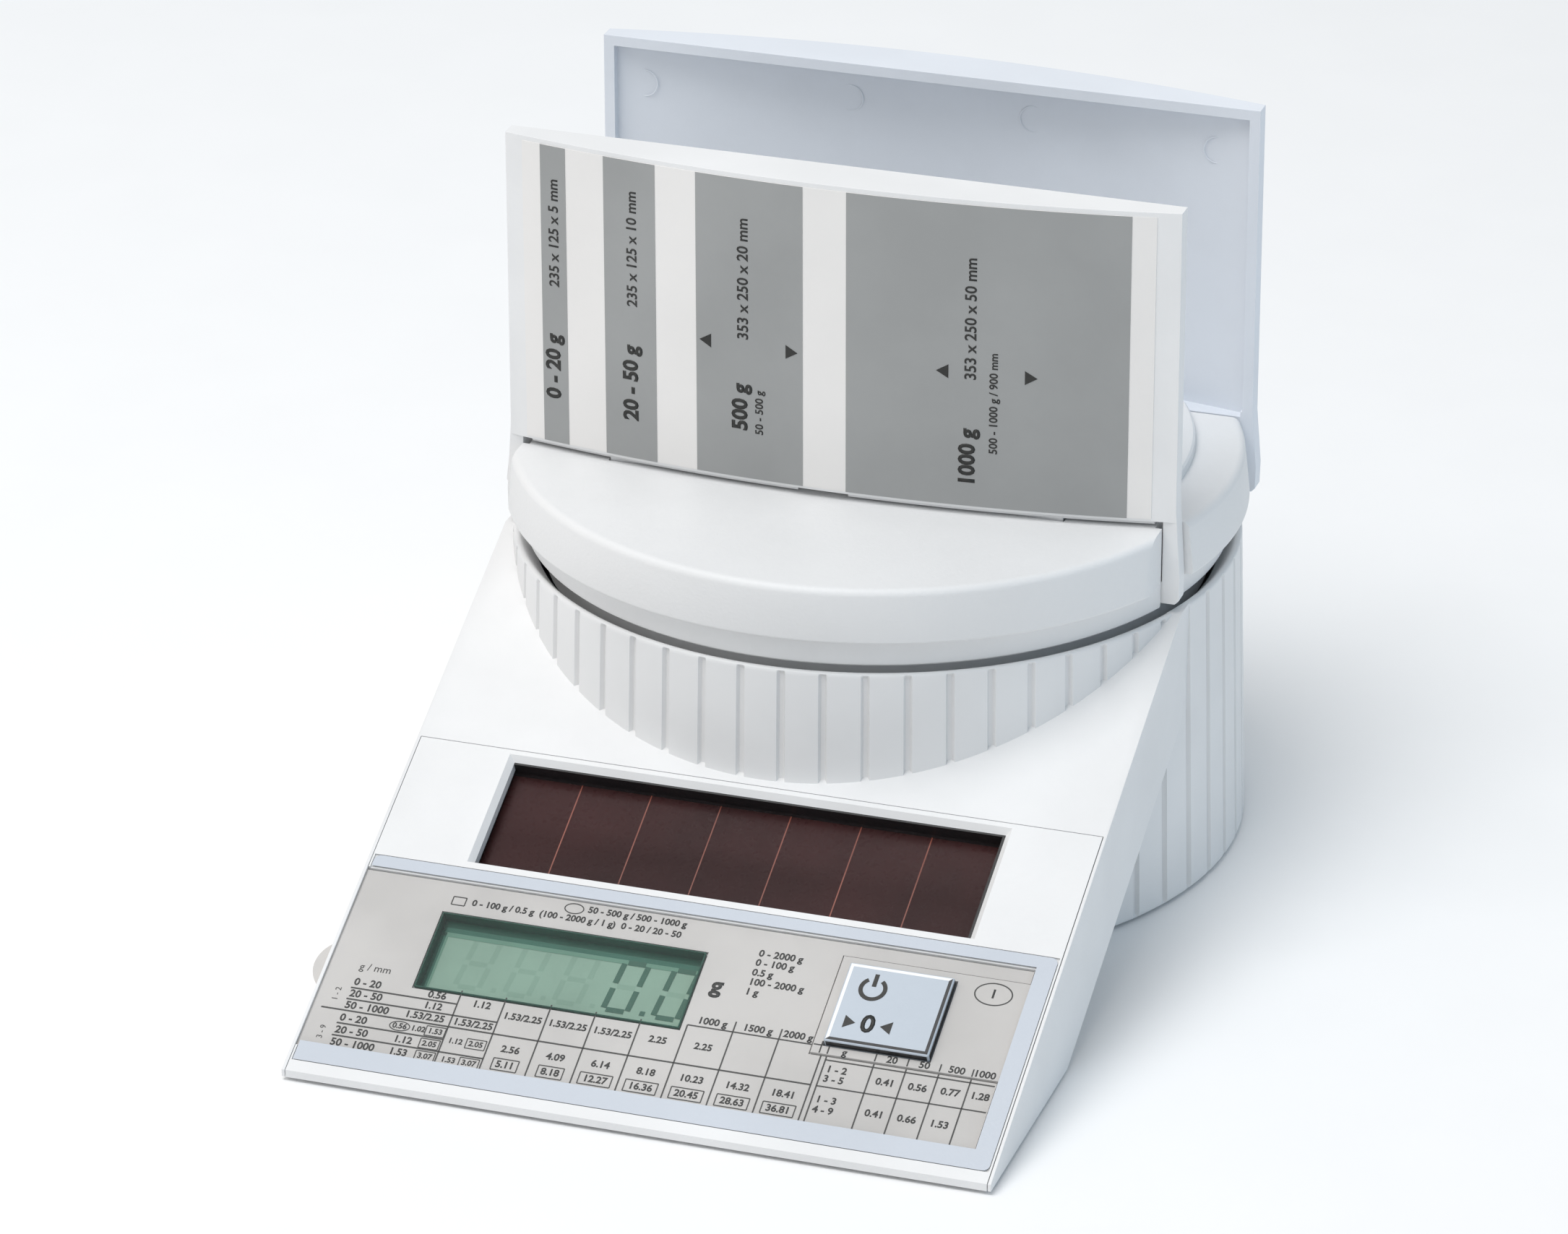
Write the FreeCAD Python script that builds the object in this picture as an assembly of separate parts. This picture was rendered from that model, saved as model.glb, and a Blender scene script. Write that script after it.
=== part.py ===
import FreeCAD, Part
import math
import os

from FreeCAD import Vector

# Driving dimensions, mm. The drum's axis is x = y = 0 and the table is z = 0; the front is -Y.
drumFootR = 67.4
drumTopR = 65.75
drumTopZ = 56.3
floorGap = 0.5              # the rubber feet lift the housing by this much
wallInnerR = 63.4
lipInnerR = 61.6
grooveCount = 56
grooveWidth = 1.4
grooveDepth = 0.6
grooveTopZ = 55.1

slopeDeg = 26.0             # tilt of the console's top
slopeToeY = -137.9          # where the console's top plane meets z = 0
consoleHalfW = 63.2
consoleDepth = 20.7         # console thickness square to its top
sideWall = 2.0
rimWidth = 0.6              # strip of side wall that stays at full height beside the cover
coverThick = 2.6
seamU = 78.2                # distances up the slope are called u, depths below it n
noseY = -134.1
underFrontY = -126.0
undersideThick = 1.9

panelHalfW = 62.0           # printed foil
panelU = (6.75, 51.45)
panelBand = 3.3
foilThick = 0.35
pocketDepth = 1.3
cardThick = 0.3
cardSlack = 0.3
tabChordU = (22.9, 32.0)
tabReach = 2.1
lcdX = (-46.35, 1.75)
lcdU = (25.7, 41.9)
keyX = (27.35, 45.95)
keyU = (26.95, 43.65)
keyProud = 1.0
keyGap = 0.3
solarHalfW = 45.1
solarU = (53.45, 75.7)

panTopZ = 72.3
panRimR = 66.87
panTopR = 66.0
panRimFootZ = 62.4
panFillet = 4.2
underRingR = 63.9
underRingZ = 58.0
skirtR = 60.0
skirtFootZ = 50.5
panThick = 2.5
bossR = 57.0
bossTopZ = 74.3

flapHalfW = 61.8
flapTopZ = 131.65
flapFootZ = 73.65
flapInnerY = -19.1          # open side of the front flap, towards the letter
flapCornerY = -22.4
flapApexY = -28.8
flapWall = 2.0
flapMirrorY = 4.75          # the rear flap is the front one mirrored about this plane
flapGap = 0.4
rearSillZ = 70.0
earInnerX = 59.5
earHookX = 58.5
earFootX = 62.7
earFootZ = 57.9
stripes = ((-54.8, -49.8), (-42.3, -32.3), (-24.55, -4.55), (3.4, 53.4))

beamHalf = (32.0, 6.35)     # load cell half length and half width
beamZ = (14.0, 26.7)

slope = math.radians(slopeDeg)
sinS = math.sin(slope)
cosS = math.cos(slope)
slopePlace = FreeCAD.Placement(
    Vector(0, slopeToeY, 0), FreeCAD.Rotation(Vector(1, 0, 0), slopeDeg)
)


def box(x0, x1, y0, y1, z0, z1):
    return Part.makeBox(x1 - x0, y1 - y0, z1 - z0, Vector(x0, y0, z0))


def rod(r, z0, z1, x=0.0, y=0.0):
    return Part.makeCylinder(r, z1 - z0, Vector(x, y, z0))


def slopeBox(x0, x1, u0, u1, n0, n1):
    shape = box(x0, x1, u0, u1, n0, n1)
    shape.Placement = slopePlace
    return shape


def slopeRod(r, n0, n1, x, u):
    shape = rod(r, n0, n1, x, u)
    shape.Placement = slopePlace
    return shape


def slopePoint(x, u, n):
    return slopePlace.multVec(Vector(x, u, n))


def uAt(z, n):
    """Distance up the slope at which the plane n below the top reaches height z."""
    return (z - n * cosS) / sinS


def yz(u, n):
    point = slopePoint(0, u, n)
    return (point.y, point.z)


def prism(outline, x0, x1):
    points = [Vector(x0, y, z) for y, z in outline]
    face = Part.Face(Part.makePolygon(points + points[:1]))
    return face.extrude(Vector(x1 - x0, 0, 0))


def slab(outline, z0, z1):
    points = [Vector(x, y, z0) for x, y in outline]
    face = Part.Face(Part.makePolygon(points + points[:1]))
    return face.extrude(Vector(0, 0, z1 - z0))


def turned(steps):
    """Solid of revolution about Z. A step is (r, z), or (rMid, zMid, r, z) for an arc."""
    edges = []
    last = steps[0]
    for step in steps[1:] + [steps[0]]:
        a = Vector(last[-2], 0, last[-1])
        b = Vector(step[-2], 0, step[-1])
        if len(step) == 4:
            edges.append(Part.Arc(a, Vector(step[0], 0, step[1]), b).toShape())
        else:
            edges.append(Part.makeLine(a, b))
        last = step
    face = Part.Face(Part.Wire(edges))
    return face.revolve(Vector(0, 0, 0), Vector(0, 0, 1), 360)


def joined(shapes):
    result = shapes[0].fuse(shapes[1:]) if len(shapes) > 1 else shapes[0]
    return result.removeSplitter()


def softened(shape, radius, wanted):
    edges = [edge for edge in shape.Edges if wanted(edge)]
    return shape.makeFillet(radius, edges)


def screw(shankR, headR, headH, length):
    """Pan head at z = 0 and above, shank down to -length."""
    head = softened(rod(headR, 0, headH), headH * 0.4, lambda e: e.BoundBox.ZMin > headH - 0.01)
    cross = box(-headR * 0.6, headR * 0.6, -0.25, 0.25, headH * 0.45, headH + 1)
    cross = cross.fuse(box(-0.25, 0.25, -headR * 0.6, headR * 0.6, headH * 0.45, headH + 1))
    return head.cut(cross).fuse(rod(shankR, -length, 0))


def placed(shape, point, direction):
    copy = shape.copy()
    turn = FreeCAD.Rotation(Vector(0, 0, 1), direction)
    copy.Placement = FreeCAD.Placement(point, turn).multiply(copy.Placement)
    return copy


# ---- Drum and console housing ----

def drumR(z):
    return drumFootR + (drumTopR - drumFootR) * (z - floorGap) / (drumTopZ - floorGap)


drumSolid = turned([
    (0, floorGap),
    (drumFootR - 0.7, floorGap),
    (drumFootR - 0.2, floorGap + 0.2, drumR(floorGap + 0.7), floorGap + 0.7),
    (drumR(drumTopZ - 0.5), drumTopZ - 0.5),
    (drumTopR - 0.2, drumTopZ - 0.15, drumTopR - 0.6, drumTopZ),
    (0, drumTopZ),
])
drumPlain = drumSolid.copy()
draft = math.degrees(math.atan((drumFootR - drumTopR) / (drumTopZ - floorGap)))
grooves = []
for i in range(grooveCount):
    tool = box(0, 3, -grooveWidth / 2, grooveWidth / 2, -2, grooveTopZ)
    tool.rotate(Vector(0, 0, 0), Vector(0, 1, 0), -draft)
    tool.translate(Vector(drumR(0) - grooveDepth, 0, 0))
    tool.rotate(Vector(0, 0, 0), Vector(0, 0, 1), -90 + (i + 0.5) * 360.0 / grooveCount)
    grooves.append(tool)
drumSolid = drumSolid.cut(Part.makeCompound(grooves))

drumVoid = turned([
    (0, 0),
    (wallInnerR, 0),
    (wallInnerR, drumTopZ - 8.5),
    (lipInnerR, drumTopZ - 6.0),
    (lipInnerR, drumTopZ - 3.5),
    (drumTopR - 0.8, drumTopZ),
    (drumTopR - 0.8, drumTopZ + 10),
    (0, drumTopZ + 10),
])

consoleOutline = [
    (noseY, floorGap),
    yz(uAt(floorGap, -consoleDepth), -consoleDepth),
    (-12.0, yz(0, -consoleDepth)[1] + (-12.0 - yz(0, -consoleDepth)[0]) * math.tan(slope)),
    (-12.0, drumTopZ),
    yz(uAt(drumTopZ, 0), 0),
    (noseY, (noseY - slopeToeY) * math.tan(slope)),
]
consoleSolid = prism(consoleOutline, -consoleHalfW, consoleHalfW)

innerHalfW = consoleHalfW - sideWall
consoleVoid = prism([
    (noseY - 5, -2.0),
    (-85.0, -2.0),
    (-10.0, 22.0),
    (-10.0, yz(0, -coverThick)[1] + (-10.0 - yz(0, -coverThick)[0]) * math.tan(slope)),
    yz(-6.0, -coverThick),
], -innerHalfW, innerHalfW).cut(drumPlain)
coverRecess = slopeBox(
    -consoleHalfW + rimWidth, consoleHalfW - rimWidth, -8, seamU, -coverThick, 6
)
seamLedge = slopeBox(-innerHalfW, innerHalfW, seamU - 0.6, seamU + 4, -4.4, -coverThick)
seamLedge = seamLedge.cut(drumPlain)
wireWindow = box(-9, 9, -72, -58, 16.0, 27.0)
cardSlotU = (panelU[0] + panelBand - 0.3, panelU[1] - 3.0 + 0.3)
cardSlot = slopeBox(-72, -56, cardSlotU[0], cardSlotU[1], -pocketDepth, -foilThick)

housing = drumSolid.fuse(consoleSolid).cut(drumVoid).cut(consoleVoid).cut(coverRecess)
housing = housing.fuse(seamLedge).cut(wireWindow).cut(cardSlot)

# Screw posts for the base plate stand inside the drum wall, tied to it by a web.
postAngles = (40, 140, 220, 320)
postR = 55.0
for angle in postAngles:
    a = math.radians(angle)
    x = postR * math.cos(a)
    y = postR * math.sin(a)
    web = box(postR, wallInnerR + 0.8, -1.0, 1.0, 3.2, 20.0)
    web.rotate(Vector(0, 0, 0), Vector(0, 0, 1), angle)
    housing = housing.fuse([rod(3.6, 3.2, 20.0, x, y), web]).cut(rod(1.25, 0, 16.0, x, y))

# ---- Base plate, underside panel, feet ----

basePlate = rod(wallInnerR - 0.2, floorGap, 3.2)
for angle in postAngles:
    a = math.radians(angle)
    x = postR * math.cos(a)
    y = postR * math.sin(a)
    basePlate = basePlate.cut(rod(1.7, 0, 4, x, y)).cut(rod(3.3, 0, 2.0, x, y))
for r in (20.0, 40.0):
    basePlate = basePlate.fuse(rod(r + 0.6, 3.2, 4.4).cut(rod(r - 0.6, 3.0, 4.6)))

underBack = -consoleDepth + undersideThick
underTopZ = floorGap + undersideThick
undersideOutline = [
    (underFrontY, floorGap),
    yz(uAt(floorGap, -consoleDepth), -consoleDepth),
    yz(104.0, -consoleDepth),
    yz(104.0, underBack),
    yz(uAt(underTopZ, underBack), underBack),
    (underFrontY, underTopZ),
]
drumClear = turned([
    (0, 0), (drumFootR + 0.15, 0), (drumTopR + 0.15, drumTopZ), (drumTopR + 0.15, 80), (0, 80)
])
underside = prism(undersideOutline, -innerHalfW + 0.15, innerHalfW - 0.15).cut(drumClear)

footSpots = [(-30.0, 45.0), (30.0, 45.0), (-47.0, -101.0), (47.0, -101.0)]
feet = []
for x, y in footSpots:
    foot = rod(5.0, 0, 1.7, x, y)
    feet.append(softened(foot, 0.25, lambda e: e.BoundBox.ZMax < 0.01))
    recess = rod(5.0, 0, 1.7, x, y)
    basePlate = basePlate.cut(recess)
    underside = underside.cut(recess)

baseScrew = screw(1.2, 2.9, 1.3, 11.0)
baseScrews = []
for angle in postAngles:
    a = math.radians(angle)
    at = Vector(postR * math.cos(a), postR * math.sin(a), 2.0)
    baseScrews.append(placed(baseScrew, at, Vector(0, 0, -1)))

# ---- Console cover with its openings and posts ----

coverHalfW = consoleHalfW - rimWidth - 0.15
cover = slopeBox(-coverHalfW, coverHalfW, -3, seamU - 0.15, -coverThick, 0)
frontBlock = prism([
    (noseY, -3), (underFrontY - 0.2, -3),
    (underFrontY - 0.2, (underFrontY - 0.2 - slopeToeY) * math.tan(slope)),
    (noseY, (noseY - slopeToeY) * math.tan(slope)),
], -innerHalfW + 0.15, innerHalfW - 0.15)
cover = cover.fuse(frontBlock)
cover = cover.common(box(-72, 72, noseY, -50, floorGap, 60))
cover = cover.cut(slopeBox(
    -solarHalfW - 0.9, solarHalfW + 0.9, solarU[0] - 0.9, solarU[1] + 0.9, -5, 2
))
bevel = []
for n, grow in ((-1.0, 0.0), (0.3, 1.3)):
    x = solarHalfW + 0.9 + grow
    corners = [
        (-x, solarU[0] - 0.9 - grow * 0.3), (x, solarU[0] - 0.9 - grow * 0.3),
        (x, solarU[1] + 0.9 + grow), (-x, solarU[1] + 0.9 + grow),
    ]
    points = [slopePoint(cx, cu, n) for cx, cu in corners]
    bevel.append(Part.makePolygon(points + points[:1]))
cover = cover.cut(Part.makeLoft(bevel, True, True))
panelRecess = slopeBox(
    -panelHalfW - 0.15, panelHalfW + 0.15, panelU[0] - 0.15, panelU[1] + 0.15, -foilThick, 2
)
pocket = slopeBox(-72, panelHalfW - panelBand, cardSlotU[0], cardSlotU[1],
                  -pocketDepth, -foilThick + 0.1)
keyHole = slopeBox(keyX[0] - keyGap, keyX[1] + keyGap, keyU[0] - keyGap, keyU[1] + keyGap, -6, 3)
lcdHole = slopeBox(lcdX[0], lcdX[1], lcdU[0], lcdU[1], -6, 3)
cover = cover.cut([panelRecess, pocket, keyHole, lcdHole])

boardN = -6.0
boardBack = -7.2
postU = (lcdU[1] + 5.0 + solarU[0] - 1.5) / 2
boardPosts = [(-44.0, postU), (12.0, postU), (46.0, postU), (14.0, 30.0)]
for x, u in boardPosts:
    cover = cover.fuse(slopeRod(1.8, boardN, -coverThick + 0.1, x, u))
    cover = cover.cut(slopeRod(0.85, -9.0, -3.2, x, u))
highPosts = [(-54.5, 66.0), (54.5, 66.0)]
for x, u in highPosts:
    cover = cover.fuse(slopeRod(3.2, underBack, -coverThick + 0.1, x, u))
    cover = cover.cut(slopeRod(1.25, underBack - 1, underBack + 9.0, x, u))
    underside = underside.cut(slopeRod(1.7, -consoleDepth - 1, underBack + 1, x, u))
    underside = underside.fuse(
        slopeRod(4.2, underBack, underBack + 1.2, x, u).cut(slopeRod(3.3, -30, 0, x, u))
    )
    underside = underside.cut(slopeRod(3.1, -consoleDepth - 1, -consoleDepth + 1.0, x, u))
lowPosts = [(-55.5, -112.0), (55.5, -112.0)]
for x, y in lowPosts:
    post = rod(3.0, underTopZ, 20, x, y).common(
        slopeBox(-70, 70, 0, 70, -40, -coverThick + 0.1)
    )
    cover = cover.fuse(post).cut(rod(1.2, 0, 7.2, x, y))
    underside = underside.cut(rod(1.7, 0, 4, x, y)).cut(rod(2.9, 0, 1.6, x, y))

consoleScrews = []
longScrew = screw(1.2, 2.7, 0.9, 9.0)
shortScrew = screw(1.15, 2.5, 0.9, 5.2)
for x, u in highPosts:
    at = slopePoint(x, u, -consoleDepth + 1.0)
    consoleScrews.append(placed(longScrew, at, Vector(0, sinS, -cosS)))
for x, y in lowPosts:
    consoleScrews.append(placed(shortScrew, Vector(x, y, 1.6), Vector(0, 0, -1)))

# ---- Solar module ----

tray = slopeBox(
    -solarHalfW - 1.5, solarHalfW + 1.5, solarU[0] - 1.5, solarU[1] + 1.5, -5.6, -coverThick
)
tray = tray.fuse(slopeBox(
    -solarHalfW - 0.8, solarHalfW + 0.8, solarU[0] - 0.8, solarU[1] + 0.8, -coverThick, -1.0
))
tray = tray.cut(slopeBox(-solarHalfW, solarHalfW, solarU[0], solarU[1], -4.6, 1))
leadSpots = ((-42.0, 55.8), (42.0, 55.8))
for x, u in leadSpots:
    tray = tray.cut(slopeRod(0.6, -6, -4, x, u))
cellU = (solarU[0] + 0.15, solarU[1] - 0.15)
solarCell = slopeBox(-solarHalfW + 0.15, solarHalfW - 0.15, cellU[0], cellU[1], -4.6, -4.0)
solarWindow = slopeBox(-solarHalfW + 0.15, solarHalfW - 0.15, cellU[0], cellU[1], -4.0, -3.3)

# ---- Foil, key surround, tariff card, key ----

foil = slopeBox(-panelHalfW, panelHalfW, panelU[0], panelU[1], -foilThick, 0)
foil = softened(foil, 1.0, lambda e: abs(e.Length - foilThick) < 0.01)
foil = foil.cut(keyHole)

cardU = (cardSlotU[0] + cardSlack, cardSlotU[1] - cardSlack)
cardTop = -foilThick - 0.3
cardEndX = panelHalfW - panelBand - cardSlack
notchX = keyX[0] - 2.2
notchU = (keyU[0] - 2.2, keyU[1] + 2.2)
card = slopeBox(-consoleHalfW, cardEndX, cardU[0], cardU[1], cardTop - cardThick, cardTop)
tabMidU = (tabChordU[0] + tabChordU[1]) / 2
tabHalf = (tabChordU[1] - tabChordU[0]) / 2
tabR = (tabHalf ** 2 + tabReach ** 2) / (2 * tabReach)
tab = slopeRod(tabR, cardTop - cardThick, cardTop, -consoleHalfW - tabReach + tabR, tabMidU)
tab = tab.common(slopeBox(-70, -consoleHalfW + 1.0, 10, 40, -5, 0))
card = card.fuse(tab)
card = card.cut(slopeBox(notchX, 70, notchU[0], notchU[1], -5, 5))
card = card.cut(slopeBox(lcdX[0] - 0.3, lcdX[1] + 0.3, lcdU[0] - 0.3, lcdU[1] + 0.3, -5, 5))
card = card.removeSplitter()

surround = slopeBox(
    notchX + 0.3, panelHalfW - panelBand, notchU[0] + 0.3, notchU[1] - 0.3,
    -pocketDepth, -foilThick
).cut(keyHole)

keyStem = ((keyX[0] + keyX[1]) / 2, (keyU[0] + keyU[1]) / 2)
key = slopeBox(keyX[0], keyX[1], keyU[0], keyU[1], -2.9, keyProud)
key = softened(key, 0.35, lambda e: abs(e.Length - 2.9 - keyProud) < 0.01)
key = key.fuse(slopeBox(
    keyX[0] - 1.3, keyX[1] + 1.3, keyU[0] - 1.3, keyU[1] + 1.3, -3.6, -2.9
))
key = key.fuse(slopeRod(1.6, -4.1, -3.6, keyStem[0], keyStem[1])).removeSplitter()

# ---- Display, circuit board ----

lcdGlass = slopeBox(
    lcdX[0] - 2.7, lcdX[1] + 2.7, lcdU[0] - 2.6, lcdU[1] + 3.4, -4.2, -coverThick
)
lcdHolder = slopeBox(
    lcdX[0] - 4.5, lcdX[1] + 4.5, lcdU[0] - 3.9, lcdU[1] + 5.0, boardN, -coverThick
)
lcdHolder = lcdHolder.cut(slopeBox(
    lcdX[0] - 2.8, lcdX[1] + 2.8, lcdU[0] - 2.7, lcdU[1] + 3.5, -4.2, 0
))
lcdHolder = lcdHolder.cut(slopeBox(
    lcdX[0] - 1.5, lcdX[1] + 1.5, lcdU[0], lcdU[1] + 3.5, -7, -4.1
))
zebra = slopeBox(lcdX[0] + 1, lcdX[1] - 1, lcdU[1] + 1.8, lcdU[1] + 3.3, boardN, -4.2)

board = slopeBox(-48.5, 48.5, 27.0, 75.0, boardBack, boardN)
for x, u in boardPosts:
    board = board.cut(slopeRod(1.05, -9, -5, x, u))
for x, u in leadSpots:
    board = board.cut(slopeRod(0.45, -9, -5, x, u))
boardScrew = screw(0.8, 1.7, 0.8, 3.2)
boardScrews = [
    placed(boardScrew, slopePoint(x, u, boardBack), Vector(0, sinS, -cosS)) for x, u in boardPosts
]
chip = slopeBox(-16.0, -2.0, 53.5, 63.5, boardBack - 1.6, boardBack)
chip = chip.cut(slopeRod(0.6, boardBack - 2.5, boardBack - 1.4, -14.4, 55.1))
pins = []
for i in range(12):
    x = -15.0 + i * 12.0 / 11
    pins.append(slopeBox(x - 0.2, x + 0.2, 52.1, 53.5, boardBack - 0.5, boardBack))
    pins.append(slopeBox(x - 0.2, x + 0.2, 63.5, 64.9, boardBack - 0.5, boardBack))
chip = chip.fuse(pins)
parts = []
for x, u, r, h in ((20, 64, 3.2, 6.5), (30, 64, 2.5, 5.0), (-30, 65, 2.0, 4.0)):
    can = rod(r, boardBack - h, boardBack, x, u)
    can = softened(can, 0.5, lambda e: abs(e.BoundBox.ZMin - e.BoundBox.ZMax) < 0.01
                   and e.BoundBox.ZMin < boardBack - 1 and len(e.Vertexes) == 1)
    can.Placement = slopePlace
    parts.append(can)
for i in range(8):
    x = -40.0 + i * 4.5
    parts.append(slopeBox(x - 0.8, x + 0.8, 69.0, 70.2, boardBack - 0.6, boardBack))
for i in range(5):
    x = 4.0 + i * 4.0
    parts.append(slopeBox(x - 0.6, x + 0.6, 55.5, 57.5, boardBack - 0.7, boardBack))
parts.append(slopeBox(-3.2, 5.8, 67.0, 71.0, boardBack - 3.2, boardBack))

switch = slopeBox(keyStem[0] - 3, keyStem[0] + 3, keyStem[1] - 3, keyStem[1] + 3, boardN, -5.1)
switch = switch.fuse(slopeRod(1.7, -5.1, -4.95, keyStem[0], keyStem[1]))

solarLeads = [slopeRod(0.35, -8.2, -4.6, x, u) for x, u in leadSpots]

# ---- Load cell and what carries the platform ----

halfL, halfB = beamHalf
beam = box(-halfL, halfL, -halfB, halfB, beamZ[0], beamZ[1])
midZ = (beamZ[0] + beamZ[1]) / 2
for x in (-6.0, 6.0):
    hole = Part.makeCylinder(4.6, 40, Vector(x, -20, midZ), Vector(0, 1, 0))
    beam = beam.cut(hole)
beam = beam.cut(box(-6, 6, -20, 20, midZ - 1.6, midZ + 1.6))
cellScrewX = (20.0, 28.0)
for x in cellScrewX:
    beam = beam.cut(rod(2.0, beamZ[1] - 9, 40, x))
    beam = beam.cut(rod(2.0, 0, beamZ[0] + 9, -x))
spacer = box(-halfL - 2, -15.0, -9.0, 9.0, 3.2, beamZ[0])
spacer = spacer.cut(basePlate)
for x in cellScrewX:
    spacer = spacer.cut(rod(2.15, 0, 20, -x))
    basePlate = basePlate.cut(rod(2.15, 0, 6, -x)).cut(rod(3.9, 0, 1.9, -x))
cellScrew = screw(1.95, 3.5, 1.2, beamZ[0] + 5.0)
lowerScrews = [placed(cellScrew, Vector(-x, 0, 1.9), Vector(0, 0, -1)) for x in cellScrewX]
stopScrew = rod(3.4, 3.2, 10.6, 24.0).fuse(rod(2.4, 10.6, beamZ[0] - 0.9, 24.0)).cut(basePlate)

carrierTopZ = panTopZ - panThick
footHole = [rod(2.05, beamZ[1] - 1, beamZ[1] + 4, x) for x in cellScrewX]
carrier = box(13.5, 35.0, -12.0, 12.0, beamZ[1], beamZ[1] + 3.0)
carrier = carrier.fuse(box(13.5, 35.0, -12.0, -9.6, beamZ[1], carrierTopZ))
carrier = carrier.fuse(box(13.5, 35.0, 9.6, 12.0, beamZ[1], carrierTopZ))
arms = rod(30.0, carrierTopZ - 3.0, carrierTopZ).fuse(
    rod(29.0, carrierTopZ - 6.0, carrierTopZ - 3.0).cut(
        rod(27.0, carrierTopZ - 7.0, carrierTopZ - 2.0)
    )
)
arms = arms.common(box(-40, 40, -20.0, 26.0, 0, 90))
carrier = carrier.fuse(arms).cut(footHole)
for x in cellScrewX:
    carrier = carrier.cut(rod(3.6, 40, 90, x))
for x, y in ((-20, 0), (0, 22), (0, -22)):
    carrier = carrier.cut(rod(5.0, 50, 90, x, y))
panScrewSpots = [(16.5, 16.5), (-16.5, 16.5), (16.5, -16.5), (-16.5, -16.5)]
for x, y in panScrewSpots:
    carrier = carrier.cut(rod(1.7, 50, 90, x, y))
upperScrew = screw(1.95, 3.5, 2.2, 11.4)
upperScrews = [
    placed(upperScrew, Vector(x, 0, beamZ[1] + 3.0), Vector(0, 0, 1)) for x in cellScrewX
]
panScrew = screw(1.2, 2.7, 1.3, 5.2)
panScrews = [
    placed(panScrew, Vector(x, y, carrierTopZ - 3.0), Vector(0, 0, -1)) for x, y in panScrewSpots
]

# ---- Weighing platform ----

shoulderR = panTopR - panFillet
arcR = panFillet * math.sqrt(0.5)
platform = turned([
    (0, panTopZ),
    (shoulderR, panTopZ),
    (shoulderR + arcR, panTopZ - panFillet + arcR, panTopR, panTopZ - panFillet),
    (panRimR, panRimFootZ + 0.5),
    (panRimR - 0.12, panRimFootZ + 0.1, panRimR - 0.5, panRimFootZ),
    (underRingR, panRimFootZ),
    (underRingR - 0.4, underRingZ),
    (skirtR, underRingZ),
    (skirtR, skirtFootZ),
    (skirtR - 2.0, skirtFootZ),
    (skirtR - 2.0, carrierTopZ),
    (0, carrierTopZ),
])
letterY = (flapInnerY + flapGap, 2 * flapMirrorY - flapInnerY - flapGap)
boss = softened(rod(bossR, panTopZ - 1, bossTopZ), 1.0, lambda e: e.BoundBox.ZMin > bossTopZ - 0.1)
boss = boss.common(box(-70, 70, letterY[0], letterY[1], 0, 90))
platform = platform.fuse(boss)
rearSeatY = 2 * flapMirrorY - flapApexY + 0.5
rearFloor = box(-60, 60, letterY[1] - 1.8, rearSeatY + 1.8, rearSillZ - 2.8, carrierTopZ + 0.5)
platform = platform.fuse(rearFloor.common(rod(skirtR - 1.0, 0, 90)))
ears = ((flapCornerY - 0.3, flapInnerY + flapGap),
        (letterY[1], 2 * flapMirrorY - flapCornerY + 1.4))
notchFloor = earHookX - 0.3
facetX = 59.2
for side in (-1, 1):
    for y0, y1 in ears:
        platform = platform.cut(box(
            min(side * notchFloor, side * 80), max(side * notchFloor, side * 80), y0, y1, 50, 80
        ))
    platform = platform.cut(box(
        min(side * facetX, side * 80), max(side * facetX, side * 80), -34, flapCornerY, 50, 80
    ))
tongues = ((-42.0, -26.0), (26.0, 42.0))
tongueFootZ = carrierTopZ - 6.0
tongueY = (-24.8, -22.6)
for y0, y1 in (tongueY, (2 * flapMirrorY - tongueY[1], 2 * flapMirrorY - tongueY[0])):
    for x0, x1 in tongues:
        platform = platform.fuse(
            box(x0 - 1.8, x1 + 1.8, y0 - 1.8, y1 + 1.8, carrierTopZ - 7.0, carrierTopZ + 0.5)
        )
        platform = platform.cut(box(x0 - 0.3, x1 + 0.3, y0 - 0.3, y1 + 0.3, 50, 80))
platform = platform.cut(box(-70, 70, letterY[1], rearSeatY, rearSillZ - 0.3, 80))
for x, y in panScrewSpots:
    platform = platform.cut(rod(1.25, carrierTopZ - 1, panTopZ + 0.3, x, y))
platform = platform.removeSplitter()

# ---- Letter flaps ----

def flapArc(halfW, cornerY, apexY, backY, z0, z1):
    left = Vector(-halfW, backY, z0)
    right = Vector(halfW, backY, z0)
    cornerR = Vector(halfW, cornerY, z0)
    cornerL = Vector(-halfW, cornerY, z0)
    edges = [
        Part.makeLine(left, right),
        Part.makeLine(right, cornerR),
        Part.Arc(cornerR, Vector(0, apexY, z0), cornerL).toShape(),
        Part.makeLine(cornerL, left),
    ]
    return Part.Face(Part.Wire(edges)).extrude(Vector(0, 0, z1 - z0))


skinSag = flapCornerY - flapApexY
skinR = (flapHalfW ** 2 + skinSag ** 2) / (2 * skinSag)


def skinY(x, lift=0.0):
    """Y of the front flap's outer skin at x, with lift mm added to the skin."""
    centre = flapApexY + skinR
    return centre - math.sqrt((skinR + lift) ** 2 - x * x)


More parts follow.
